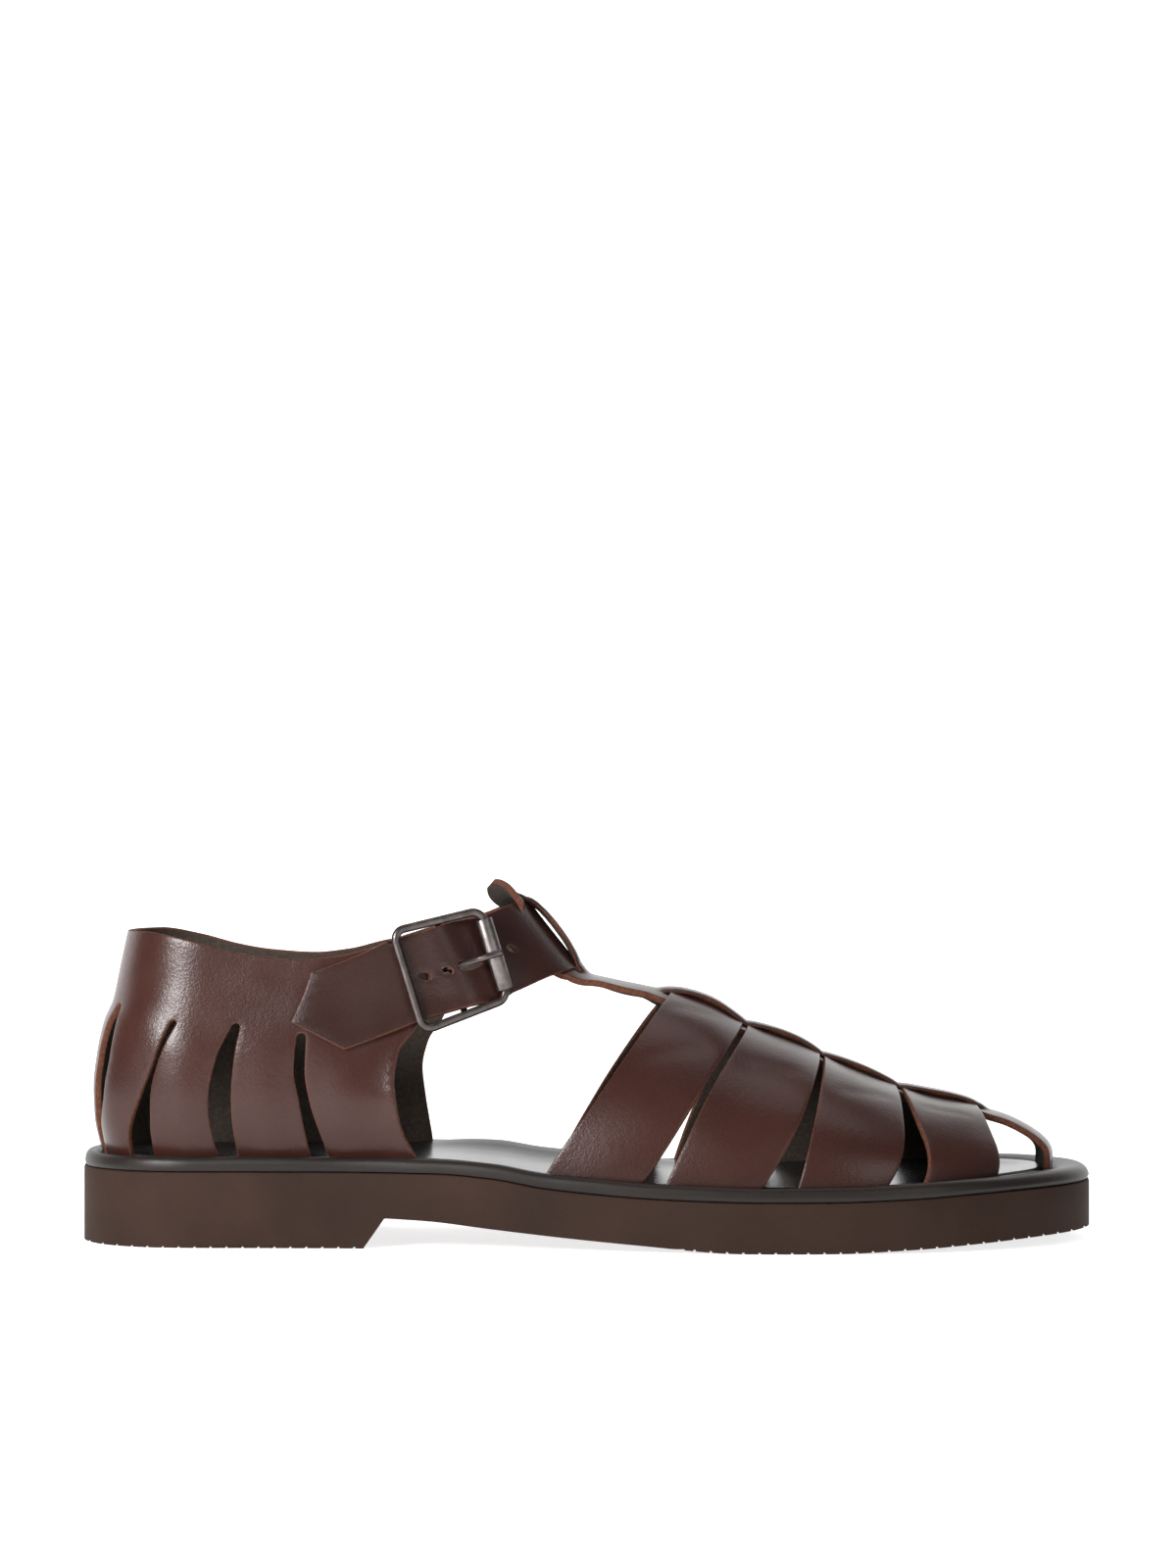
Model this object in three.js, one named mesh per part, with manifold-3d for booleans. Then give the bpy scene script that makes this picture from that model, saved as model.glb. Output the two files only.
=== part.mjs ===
import * as THREE from "three";
import { mergeVertices } from "three/addons/utils/BufferGeometryUtils.js";
import Module from "manifold-3d";

// Fisherman sandal for the right foot, in millimetres. +X is the toe, +Y the medial side, +Z up.
// The origin lies on the floor under the middle of the sole.

// Sole sizes
const LENGTH = 290;
const BALL_WIDTH = 106;
const HEEL_WIDTH = 69;
const HEEL_STACK = 21.3;
const FOREFOOT_STACK = 14.1;
const ARCH_RISE = 8.6;
const TOE_SPRING = 3.7;
const HEEL_END = 82;
const BREAST_SLANT = 6;
const EDGE_ROLL = 3.9;
const MIDSOLE_PLATE = 1;
const DECK_THICKNESS = 2.2;
const DECK_CUP = 1.2;
const ARCH_RIM = 2.2;

// Upper sizes
const LEATHER = 2;
const FIT_GAP = 0.3;
const FOOT_PLAY = 0.45;
const SIDE_INSET = 5.4;
const TOE_INSET = 10.6;
const COLLAR_HEIGHT = 88.5;
const INSTEP_RISE = 13.2;
const INSTEP_HEIGHT = COLLAR_HEIGHT + INSTEP_RISE;
const ANKLE_HALF_WIDTH = 29.5;
const BAR_WIDTH = 24;
const BRIDGE_WIDTH = 12;

// Buckle sizes
const BUCKLE_LENGTH = 26.4;
const BUCKLE_WIRE = 2.4;
const BUCKLE_CLEARANCE = 0.8;
const BUCKLE_RIDE = 1.1;
const ROLLER_LENGTH = 22;
const ROLLER_WIDTH = 4.8;
const ROLLER_WALL = 0.5;
const PRONG_WIRE = 1.8;

const wasm = await Module();
wasm.setup();

const clamp = THREE.MathUtils.clamp;
const mix = THREE.MathUtils.lerp;
const smooth = (low, high, x) => THREE.MathUtils.smoothstep(x, low, high);
const vec = (x, y, z) => new THREE.Vector3(x, y, z);

// A smooth function through one named column of a table, with no overshoot between its rows.
function column(rows, key, value) {
  const x = rows.map((row) => row[key]);
  const y = rows.map((row) => row[value]);
  const slope = x.slice(1).map((next, i) => (y[i + 1] - y[i]) / (next - x[i]));
  const tangent = x.map((_, i) => {
    if (i === 0) return slope[0];
    if (i === x.length - 1) return slope[i - 1];
    if (slope[i - 1] * slope[i] <= 0) return 0;
    return (2 * slope[i - 1] * slope[i]) / (slope[i - 1] + slope[i]);
  });
  return (at) => {
    if (at <= x[0]) return y[0];
    if (at >= x[x.length - 1]) return y[x.length - 1];
    const i = x.findIndex((_, k) => at < x[k + 1]);
    const span = x[i + 1] - x[i];
    const t = (at - x[i]) / span;
    const t2 = t * t;
    const t3 = t2 * t;
    return (2 * t3 - 3 * t2 + 1) * y[i] + (t3 - 2 * t2 + t) * span * tangent[i]
      + (3 * t2 - 2 * t3) * y[i + 1] + (t3 - t2) * span * tangent[i + 1];
  };
}

// Sole: along is the share of the length from the heel, axis and girth place the two sides,
// lift goes from the forefoot stack to the heel stack, curl and spring raise the toe.
const soleRows = [
  { along: 0.0, axis: 0.0, girth: 0.0, lift: 1.0, curl: 0.0, spring: 0.0 },
  { along: 0.25, axis: -0.008, girth: 0.03, lift: 1.0, curl: 0.0, spring: 0.0 },
  { along: 0.35, axis: -0.024, girth: 0.12, lift: 0.97, curl: 0.0, spring: 0.0 },
  { along: 0.41, axis: -0.033, girth: 0.22, lift: 0.79, curl: 0.0, spring: 0.0 },
  { along: 0.455, axis: -0.036, girth: 0.32, lift: 0.48, curl: 0.0, spring: 0.0 },
  { along: 0.5, axis: -0.035, girth: 0.45, lift: 0.29, curl: 0.0, spring: 0.0 },
  { along: 0.58, axis: -0.026, girth: 0.69, lift: 0.08, curl: 0.0, spring: 0.0 },
  { along: 0.67, axis: -0.01, girth: 0.92, lift: 0.0, curl: 0.0, spring: 0.0 },
  { along: 0.74, axis: 0.0, girth: 1.0, lift: 0.0, curl: 0.04, spring: 0.04 },
  { along: 0.81, axis: 0.006, girth: 0.92, lift: 0.0, curl: 0.22, spring: 0.27 },
  { along: 0.88, axis: 0.02, girth: 0.68, lift: 0.0, curl: 0.5, spring: 0.58 },
  { along: 0.94, axis: 0.032, girth: 0.46, lift: 0.0, curl: 0.66, spring: 0.82 },
  { along: 1.0, axis: 0.038, girth: 0.3, lift: 0.0, curl: 0.76, spring: 1.0 },
];
const soleAxis = column(soleRows, "along", "axis");
const RIDGE_SHIFT = soleAxis(1) * BALL_WIDTH;
const soleGirth = column(soleRows, "along", "girth");
const soleLift = column(soleRows, "along", "lift");
const soleCurl = column(soleRows, "along", "curl");
const soleSpring = column(soleRows, "along", "spring");

// Underside of the shank, as shares of the arch rise, from the heel breast to the forefoot tread.
const shankRows = [
  { along: 0.3, rise: 1.0 },
  { along: 0.345, rise: 0.92 },
  { along: 0.41, rise: 0.68 },
  { along: 0.48, rise: 0.44 },
  { along: 0.56, rise: 0.21 },
  { along: 0.63, rise: 0.02 },
  { along: 0.65, rise: 0.0 },
];
const shankRise = column(shankRows, "along", "rise");

const HEEL_ROUND = 0.12;
const TOE_ROUND = 0.17;
const ROUND_POWER = 2.3;
const ALONG_STEPS = 48;

const xAt = (along) => (along - 0.5) * LENGTH;
const alongAt = (x) => x / LENGTH + 0.5;
const seamAt = (x) => {
  const stack = mix(FOREFOOT_STACK, HEEL_STACK, soleLift(alongAt(x)));
  return stack + TOE_SPRING * soleCurl(alongAt(x));
};

function roundEnd(distance, reach) {
  const share = clamp(1 - distance / reach, 0, 1);
  return Math.pow(1 - Math.pow(share, ROUND_POWER), 1 / ROUND_POWER);
}

// Point of the sole's outline: side -1 is lateral, +1 medial.
function outlinePoint(side, along) {
  const half = mix(HEEL_WIDTH, BALL_WIDTH, soleGirth(along)) / 2;
  const ends = roundEnd(along, HEEL_ROUND) * roundEnd(1 - along, TOE_ROUND);
  return new THREE.Vector2(xAt(along), soleAxis(along) * BALL_WIDTH + side * half * ends);
}

// Stations crowd towards the heel and toe tips, where the outline turns fastest.
const stationAlong = (share) => (1 - Math.cos(Math.PI * share)) / 2;

// The closed outline, heel tip first, lateral side to the toe and medial side back.
function outlineRing(steps, inset) {
  const at = (i) => {
    const k = (i + 2 * steps) % (2 * steps);
    if (k <= steps) return outlinePoint(-1, stationAlong(k / steps));
    return outlinePoint(1, stationAlong(2 - k / steps));
  };
  return Array.from({ length: 2 * steps }, (_, i) => {
    const here = at(i);
    const run = at(i + 1).sub(at(i - 1)).normalize();
    const depth = inset(here.x);
    return new THREE.Vector2(here.x - run.y * depth, here.y + run.x * depth);
  });
}

// Depth from the outline to the outer face of the leather, where it drops beside the deck.
const footInset = (x) => mix(SIDE_INSET, TOE_INSET, smooth(0.76, 0.97, alongAt(x)));

// Middle of the leather where it enters the sole: one run of points for each side.
const FOOT_STEPS = 240;
const footRing = outlineRing(FOOT_STEPS, (x) => footInset(x) + LEATHER / 2);
function footRun(side) {
  const count = 2 * FOOT_STEPS;
  const places = Array.from({ length: FOOT_STEPS + 1 }, (_, i) => (side < 0 ? i : (count - i) % count));
  const points = places.map((place) => footRing[place]);
  let travelled = 0;
  return points.map((point, i) => {
    if (i > 0) travelled += point.distanceTo(points[i - 1]);
    return { x: point.x, y: point.y, run: travelled };
  });
}
const footRuns = { "-1": footRun(-1), 1: footRun(1) };

function footLookup(side, key, value) {
  const points = footRuns[side];
  let i = points.findIndex((point) => point[key] > value) - 1;
  if (i === -2) i = points.length - 2;
  i = Math.max(i, 0);
  const share = clamp((value - points[i][key]) / (points[i + 1][key] - points[i][key]), 0, 1);
  return {
    x: mix(points[i].x, points[i + 1].x, share),
    y: mix(points[i].y, points[i + 1].y, share),
    run: mix(points[i].run, points[i + 1].run, share),
  };
}
const FOOT_TIP = footRuns[1][FOOT_STEPS].x;
const FOOT_BACK = footRuns[1][0].x;
const footHeight = (x) => seamAt(x) + 2 * FIT_GAP + MIDSOLE_PLATE;

// Closed solids

function closedGeometry(positions, index) {
  const geometry = new THREE.BufferGeometry();
  const numbers = positions.flatMap((p) => [p.x, p.y, p.z]);
  geometry.setAttribute("position", new THREE.Float32BufferAttribute(numbers, 3));
  let volume = 0;
  for (let i = 0; i < index.length; i += 3) {
    const [a, b, c] = [positions[index[i]], positions[index[i + 1]], positions[index[i + 2]]];
    volume += a.dot(b.clone().cross(c));
  }
  geometry.setIndex(volume < 0 ? index.slice().reverse() : index);
  return geometry;
}

// Rings of equal count, joined in order and closed across the first and the last one.
function ringSolid(rings) {
  const count = rings[0].length;
  const index = [];
  const quad = (a, b, c, d) => index.push(a, b, c, a, c, d);
  for (let r = 0; r + 1 < rings.length; r += 1) {
    for (let i = 0; i < count; i += 1) {
      const j = (i + 1) % count;
      quad(r * count + i, r * count + j, (r + 1) * count + j, (r + 1) * count + i);
    }
  }
  const cap = (start, flip) => {
    const half = count / 2;
    for (let i = 0; i < half; i += 1) {
      const corners = [i, i + 1, (count - i - 1) % count, (count - i) % count].map((k) => start + k);
      if (flip) corners.reverse();
      const [a, b, c, d] = corners;
      if (i > 0) index.push(a, c, d);
      if (i < half - 1) index.push(a, b, c);
    }
  };
  cap(0, true);
  cap((rings.length - 1) * count, false);
  return closedGeometry(rings.flat(), index);
}

const evenShares = (steps) => Array.from({ length: steps + 1 }, (_, i) => i / steps);

// A wall of leather: a surface of two shares, thickened along its normal between low and high.
function sheet(surface, columns, rows, low = -LEATHER / 2, high = LEATHER / 2, normalAt = null) {
  const step = 0.002;
  const across = Array.isArray(columns) ? columns : evenShares(columns);
  const along = Array.isArray(rows) ? rows : evenShares(rows);
  const normal = normalAt ?? ((a, b) => {
    const da = surface(Math.min(a + step, 1), b).sub(surface(Math.max(a - step, 0), b));
    const db = surface(a, Math.min(b + step, 1)).sub(surface(a, Math.max(b - step, 0)));
    return da.cross(db).normalize();
  });
  const levels = [low, high].map((level) => (typeof level === "function" ? level : () => level));
  const positions = levels.flatMap((level) => along.flatMap((b) => across.map((a) => {
    return surface(a, b).addScaledVector(normal(a, b), level(a, b));
  })));
  const width = across.length;
  const layer = width * along.length;
  const index = [];
  const quad = (a, b, c, d) => index.push(a, b, c, a, c, d);
  for (let j = 0; j + 1 < along.length; j += 1) {
    for (let i = 0; i + 1 < width; i += 1) {
      const k = j * width + i;
      quad(layer + k, layer + k + 1, layer + k + width + 1, layer + k + width);
      quad(k, k + width, k + width + 1, k + 1);
    }
  }
  const rim = [
    ...across.map((_, i) => i),
    ...along.slice(1).map((_, j) => (j + 2) * width - 1),
    ...across.slice(1).map((_, i) => layer - 2 - i),
    ...along.slice(1, -1).map((_, j) => (along.length - 2 - j) * width),
  ];
  rim.forEach((k, i) => {
    const next = rim[(i + 1) % rim.length];
    quad(k, next, next + layer, k + layer);
  });
  return closedGeometry(positions, index);
}

// A bar of even section along a path, in a plane whose normal is given; a closed path makes a ring.
function sweep(path, plane, section, closed = false) {
  const count = path.length;
  const positions = path.flatMap((point, i) => {
    const before = path[closed ? (i + count - 1) % count : Math.max(i - 1, 0)];
    const after = path[closed ? (i + 1) % count : Math.min(i + 1, count - 1)];
    const side = after.clone().sub(before).normalize().cross(plane).normalize();
    return section.map(([a, b]) => point.clone().addScaledVector(side, a).addScaledVector(plane, b));
  });
  const sides = section.length;
  const index = [];
  for (let i = 0; i < (closed ? count : count - 1); i += 1) {
    for (let k = 0; k < sides; k += 1) {
      const [a, b] = [i * sides + k, i * sides + ((k + 1) % sides)];
      const [c, d] = [((i + 1) % count) * sides + ((k + 1) % sides), ((i + 1) % count) * sides + k];
      index.push(a, b, c, a, c, d);
    }
  }
  if (!closed) {
    for (let k = 1; k + 1 < sides; k += 1) {
      index.push(0, k + 1, k);
      const last = (count - 1) * sides;
      index.push(last, last + k, last + k + 1);
    }
  }
  return closedGeometry(positions, index);
}

const ovalSection = (width, height, sides, phase = 0.5) => Array.from({ length: sides }, (_, i) => {
  const turn = ((i + phase) / sides) * Math.PI * 2;
  return [(Math.cos(turn) * width) / 2, (Math.sin(turn) * height) / 2];
});

function toSolid(geometry) {
  const bare = geometry.clone();
  bare.deleteAttribute("normal");
  bare.deleteAttribute("uv");
  const merged = mergeVertices(bare, 1e-4);
  return new wasm.Manifold(new wasm.Mesh({
    numProp: 3,
    vertProperties: new Float32Array(merged.attributes.position.array),
    triVerts: new Uint32Array(merged.index.array),
  }));
}

function toGeometry(solid) {
  const mesh = solid.getMesh();
  const geometry = new THREE.BufferGeometry();
  geometry.setAttribute("position", new THREE.BufferAttribute(new Float32Array(mesh.vertProperties), 3));
  geometry.setIndex(new THREE.BufferAttribute(new Uint32Array(mesh.triVerts), 1));
  return geometry;
}

const joined = (geometries) => geometries.map(toSolid).reduce((all, one) => all.add(one));

const model = new THREE.Group();
model.name = "fisherman_sandal";

function addPiece(name, geometry, color, roughness, metalness = 0) {
  geometry.computeVertexNormals();
  const mesh = new THREE.Mesh(geometry, new THREE.MeshStandardMaterial({ color, roughness, metalness }));
  mesh.name = name;
  model.add(mesh);
}

// Outsole: the plan outline pushed up, cut to the side profile with its heel, arch and toe spring.
const profileStations = (from, to, steps) => evenShares(steps).map((share) => mix(from, to, share));
const heelFront = HEEL_END / LENGTH;
const shankFront = shankRows[shankRows.length - 1].along;
const topLine = profileStations(1.02, -0.02, 26).map((along) => {
  return new THREE.Vector2(xAt(along), seamAt(xAt(along)));
});
const breastTop = heelFront + BREAST_SLANT / LENGTH;
const shankLine = profileStations(breastTop, shankFront, 10).map((along) => {
  return new THREE.Vector2(xAt(along), ARCH_RISE * shankRise(along));
});
const toeLine = profileStations(0.73, 1.02, 8).map((along) => {
  return new THREE.Vector2(xAt(along), TOE_SPRING * soleSpring(along));
});
const sideProfile = [
  new THREE.Vector2(xAt(-0.02), 0),
  new THREE.Vector2(xAt(heelFront), 0),
  ...shankLine,
  ...toeLine,
  ...topLine,
];
const PLAN_SPARE = 2;
const planShape = new THREE.Shape(outlineRing(ALONG_STEPS, () => 0));
const planDepth = HEEL_STACK + 2 * PLAN_SPARE;
const plan = new THREE.ExtrudeGeometry(planShape, { depth: planDepth, bevelEnabled: false, steps: 1 });
plan.translate(0, 0, -PLAN_SPARE);
const sideShape = new THREE.Shape(sideProfile);
const side = new THREE.ExtrudeGeometry(sideShape, { depth: 2 * BALL_WIDTH, bevelEnabled: false, steps: 1 });
side.rotateX(Math.PI / 2);
side.translate(0, BALL_WIDTH, 0);
addPiece("outsole", toGeometry(toSolid(plan).intersect(toSolid(side))), 0x443632, 0.8);

// Midsole: a thin plate whose edge is rolled up round the deck and the feet of the straps.
const soleRing = (inset, height) => {
  return outlineRing(ALONG_STEPS, inset).map((p) => vec(p.x, p.y, seamAt(p.x) + height(p.x, p.y)));
};
const rollInner = (x) => footInset(x) - FOOT_PLAY;
const rollRows = [
  { out: 0.02, up: 0.0 },
  { out: 0.0, up: 0.45 },
  { out: 0.1, up: 0.85 },
  { out: 0.35, up: 1.0 },
  { out: 0.7, up: 0.97 },
  { out: 1.0, up: 0.75 },
];
const ROLL_MARGIN = 0.4;
const rollRing = ({ out, up }) => {
  return soleRing((x) => mix(ROLL_MARGIN, rollInner(x), out), () => FIT_GAP + up * EDGE_ROLL);
};
addPiece("midsole", ringSolid([
  ...rollRows.map(rollRing),
  soleRing(rollInner, () => FIT_GAP + MIDSOLE_PLATE),
]), 0x35302f, 0.45);

// Insole: the deck between the feet of the straps, cupped in the middle, with a raised arch rim.
const deckOuter = (x) => footInset(x) + LEATHER + FOOT_PLAY;
const deckBase = 2 * FIT_GAP + MIDSOLE_PLATE;
const DECK_ROUND = 0.8;
const shankShare = (x) => smooth(0.3, 0.42, alongAt(x)) * (1 - smooth(0.5, 0.64, alongAt(x)));
const deckRim = (x, y) => ARCH_RIM * smooth(0, HEEL_WIDTH * 0.4, y) * shankShare(x);
const deckRows = [
  { inside: 0, level: 0, cup: 0, rim: 0 },
  { inside: 0, level: 0.75, cup: 0, rim: 1 },
  { inside: 0.023, level: 1, cup: 0, rim: 1 },
  { inside: 0.23, level: 1, cup: 0.6, rim: 0.7 },
  { inside: 0.46, level: 1, cup: 1, rim: 0.4 },
];
addPiece("insole", ringSolid(deckRows.map(({ inside, level, cup, rim }) => {
  const height = (x, y) => deckBase + DECK_THICKNESS * level - DECK_CUP * cup + deckRim(x, y) * rim;
  return soleRing((x) => deckOuter(x) + (inside * HEEL_WIDTH) / 2, height);
})), 0x3a3838, 0.4);

// Last: the ridge of the instep runs from the tip of the tab down to the toe, as shares of the
// length and of the instep height. The lateral side of every strap is drawn in side view.
const ridgeRows = [
  { along: 0.4034, height: 1.0 },
  { along: 0.4131, height: 0.9754 },
  { along: 0.4255, height: 0.9538 },
  { along: 0.4372, height: 0.9331 },
  { along: 0.4655, height: 0.8319 },
  { along: 0.4824, height: 0.7728 },
  { along: 0.4983, height: 0.7394 },
  { along: 0.525, height: 0.72 },
  { along: 0.5759, height: 0.6883 },
  { along: 0.6179, height: 0.648 },
  { along: 0.6531, height: 0.593 },
  { along: 0.7062, height: 0.5349 },
  { along: 0.7503, height: 0.4759 },
  { along: 0.8276, height: 0.3923 },
  { along: 0.8828, height: 0.3599 },
  { along: 0.9207, height: 0.3304 },
  { along: 0.9521, height: 0.2783 },
];
const TOE_TURN = 0.2478;
const ridgePoints = ridgeRows.map(({ along, height }) => vec(xAt(along), 0, height * INSTEP_HEIGHT));
ridgePoints.push(vec(FOOT_TIP, 0, TOE_TURN * INSTEP_HEIGHT));
ridgePoints.push(vec(FOOT_TIP, 0, footHeight(FOOT_TIP)));
const ridge = new THREE.CatmullRomCurve3(ridgePoints, false, "centripetal");
ridge.arcLengthDivisions = 800;
const RIDGE_STEPS = 800;
const ridgeSamples = ridge.getSpacedPoints(RIDGE_STEPS);

function ridgeShareAt(x) {
  const i = ridgeSamples.findIndex((point) => point.x > x);
  if (i < 1) return i < 0 ? 1 : 0;
  return (i - 1 + (x - ridgeSamples[i - 1].x) / (ridgeSamples[i].x - ridgeSamples[i - 1].x)) / RIDGE_STEPS;
}
const ridgeHeightAt = (x) => ridge.getPointAt(clamp(ridgeShareAt(x), 0, 1)).z;

// Vamp: each cross-section rises from the foot of the straps to the ridge on a superellipse.
const fullnessRows = [
  { along: 0.42, power: 1.7 },
  { along: 0.6, power: 1.85 },
  { along: 0.75, power: 2.1 },
  { along: 0.9, power: 2.3 },
];
const fullness = column(fullnessRows, "along", "power");
const VAMP_START = 0.4983;
const VAMP_END = 0.9;

function vampPoint(x, way, climb) {
  const power = fullness(alongAt(x));
  const angle = (climb * Math.PI) / 2;
  const foot = footLookup(way, "x", x);
  const out = Math.pow(Math.max(Math.cos(angle), 0), 2 / power);
  const up = Math.pow(Math.sin(angle), 2 / power);
  return vec(x, mix(RIDGE_SHIFT, foot.y, out), mix(footHeight(x), ridgeHeightAt(x), up));
}

function vampDrop(x, y) {
  const at = Math.min(x, xAt(VAMP_END));
  const power = fullness(alongAt(at));
  const reach = Math.abs(footLookup(y < 0 ? -1 : 1, "x", at).y - RIDGE_SHIFT);
  const share = Math.min(Math.abs(y) / reach, 0.95);
  const rise = Math.max(ridgeHeightAt(Math.min(x, FOOT_TIP)) - footHeight(x), 0);
  return rise * (1 - Math.pow(1 - Math.pow(share, power), 1 / power));
}

// Ankle: low down the wall follows the sole round the heel, higher up it closes to an oval.
const wallRows = [
  { rise: 0.0, lean: 0.0, spread: 1.0 },
  { rise: 0.05, lean: -0.0035, spread: 1.03 },
  { rise: 0.15, lean: -0.0076, spread: 1.08 },
  { rise: 0.29, lean: -0.009, spread: 1.1 },
  { rise: 0.44, lean: -0.0062, spread: 1.09 },
  { rise: 0.58, lean: 0.0, spread: 1.06 },
  { rise: 0.68, lean: 0.009, spread: 1.03 },
  { rise: 0.84, lean: 0.0166, spread: 0.99 },
  { rise: 1.0, lean: 0.0241, spread: 0.96 },
];
const wallLean = column(wallRows, "rise", "lean");
const wallSpread = column(wallRows, "rise", "spread");
const ROLL_TOP = HEEL_STACK + FIT_GAP + EDGE_ROLL;
const riseAt = (z) => (z - ROLL_TOP) / (COLLAR_HEIGHT - ROLL_TOP);
const OVAL_CENTRE = 0.207;
const OVAL_POWER = 2.2;
const OVAL_FRONT = 0.4824;
const OVAL_FRONT_HEIGHT = 0.771;
const OVAL_FRONT_LEAN = 0.787;
const LEAN_END = 0.297;
const OVAL_LOW = 0.24;
const OVAL_HIGH = 0.72;
const OVAL_NEAR = 0.33;
const OVAL_FULL = 0.41;

const ovalFront = (z) => xAt(OVAL_FRONT) - (z - OVAL_FRONT_HEIGHT * INSTEP_HEIGHT) * OVAL_FRONT_LEAN;
const ovalReach = (z) => ovalFront(z) - xAt(OVAL_CENTRE);
const ovalShift = (x) => RIDGE_SHIFT * smooth(0.2, 0.44, alongAt(x));

// Point of the ankle wall: turn is the angle round the oval, 0 in front and 90 degrees at the sides.
function ankleWall(way, x, z, ovalY) {
  const low = footLookup(way, "x", x).y * wallSpread(riseAt(z));
  const high = smooth(OVAL_LOW, OVAL_HIGH, riseAt(z)) * smooth(OVAL_CENTRE, LEAN_END, alongAt(x));
  const front = smooth(OVAL_NEAR, OVAL_FULL, alongAt(x));
  return mix(low, ovalShift(x) + ovalY, Math.max(high, front));
}

function bandPoint(turn, z) {
  const angle = THREE.MathUtils.degToRad(turn);
  const x = xAt(OVAL_CENTRE) + ovalReach(z) * Math.pow(Math.max(Math.cos(angle), 0), 2 / OVAL_POWER);
  const y = Math.sign(turn) * ANKLE_HALF_WIDTH * Math.pow(Math.abs(Math.sin(angle)), 2 / OVAL_POWER);
  return vec(x, ankleWall(turn < 0 ? -1 : 1, x, z, y), z);
}

// Point of the quarter: run is the distance along the foot from the middle of the heel.
function quarterPoint(run, z) {
  const way = run < 0 ? -1 : 1;
  const foot = footLookup(way, "run", Math.abs(run));
  const back = clamp((xAt(LEAN_END) - foot.x) / (xAt(LEAN_END) - FOOT_BACK), 0, 1);
  const x = foot.x + wallLean(riseAt(z)) * LENGTH * back;
  const share = clamp((x - xAt(OVAL_CENTRE)) / ovalReach(z), 0, 1);
  const ovalY = way * ANKLE_HALF_WIDTH * Math.pow(1 - Math.pow(share, OVAL_POWER), 1 / OVAL_POWER);
  if (foot.x < xAt(OVAL_CENTRE)) return vec(x, foot.y * wallSpread(riseAt(z)), z);
  return vec(x, ankleWall(way, x, z, ovalY), z);
}

// Quarter: the collar line from the back of the heel forward, and its front edge on each side.
const collarRows = [
  { along: 0.0, height: 1.0 },
  { along: 0.045, height: 1.0 },
  { along: 0.092, height: 0.976 },
  { along: 0.131, height: 0.945 },
  { along: 0.169, height: 0.925 },
  { along: 0.218, height: 0.915 },
  { along: 0.256, height: 0.927 },
  { along: 0.294, height: 0.955 },
  { along: 0.34, height: 0.978 },
];
const collarLine = column(collarRows, "along", "height");
const frontRows = [
  { height: 0.2, lateral: 0.34, medial: 0.344 },
  { height: 0.28, lateral: 0.335, medial: 0.343 },
  { height: 0.36, lateral: 0.3217, medial: 0.339 },
  { height: 0.44, lateral: 0.3152, medial: 0.335 },
  { height: 0.53, lateral: 0.3121, medial: 0.332 },
  { height: 0.62, lateral: 0.3159, medial: 0.338 },
  { height: 0.69, lateral: 0.3314, medial: 0.352 },
  { height: 0.78, lateral: 0.345, medial: 0.362 },
  { height: 0.98, lateral: 0.34, medial: 0.355 },
];
const frontEdge = {
  "-1": column(frontRows, "height", "lateral"),
  1: column(frontRows, "height", "medial"),
};
const collarAt = (x) => collarLine(alongAt(x)) * COLLAR_HEIGHT;

function quarterSurface(a, b) {
  const guess = mix(footHeight(0.3 * LENGTH), COLLAR_HEIGHT, b);
  const edge = (way) => footLookup(way, "x", xAt(frontEdge[way](guess / COLLAR_HEIGHT))).run * way;
  const run = mix(edge(-1), edge(1), a);
  const x = footLookup(run < 0 ? -1 : 1, "run", Math.abs(run)).x;
  return quarterPoint(run, mix(footHeight(x), collarAt(x), b));
}

const QUARTER_ROWS = [0, 0.04, 0.12, 0.22, 0.33, 0.45, 0.57, 0.7, 0.85, 1];
const QUARTER_COLUMNS = 46;

// Slits that part the quarter into legs: rear and front edge as shares of the length, measured
// along the foot from the middle of the heel, at shares of the collar height.
const slitTables = [
  [
    { height: 0.25, rear: 0.028, front: 0.04 },
    { height: 0.38, rear: 0.026, front: 0.05 },
    { height: 0.48, rear: 0.027, front: 0.063 },
    { height: 0.6, rear: 0.034, front: 0.068 },
    { height: 0.7, rear: 0.045, front: 0.066 },
    { height: 0.76, rear: 0.053, front: 0.062 },
  ],
  [
    { height: 0.25, rear: 0.0895, front: 0.115 },
    { height: 0.33, rear: 0.0922, front: 0.1168 },
    { height: 0.39, rear: 0.0975, front: 0.1182 },
    { height: 0.49, rear: 0.1105, front: 0.1205 },
    { height: 0.575, rear: 0.1202, front: 0.1252 },
    { height: 0.64, rear: 0.1252, front: 0.1305 },
    { height: 0.72, rear: 0.1325, front: 0.1395 },
  ],
  [
    { height: 0.25, rear: 0.181, front: 0.1993 },
    { height: 0.33, rear: 0.1776, front: 0.1981 },
    { height: 0.45, rear: 0.175, front: 0.1967 },
    { height: 0.6, rear: 0.181, front: 0.1984 },
    { height: 0.71, rear: 0.1935, front: 0.2015 },
  ],
  [
    { height: 0.25, rear: 0.2705, front: 0.2905 },
    { height: 0.35, rear: 0.266, front: 0.2812 },
    { height: 0.46, rear: 0.2608, front: 0.271 },
    { height: 0.57, rear: 0.2553, front: 0.2659 },
    { height: 0.68, rear: 0.2565, front: 0.266 },
  ],
];
const SLIT_STATIONS = [0, 0.14, 0.28, 0.42, 0.56, 0.7, 0.84, 0.95, 1];
const CUT_DEPTH = 2 * LEATHER;

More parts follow.
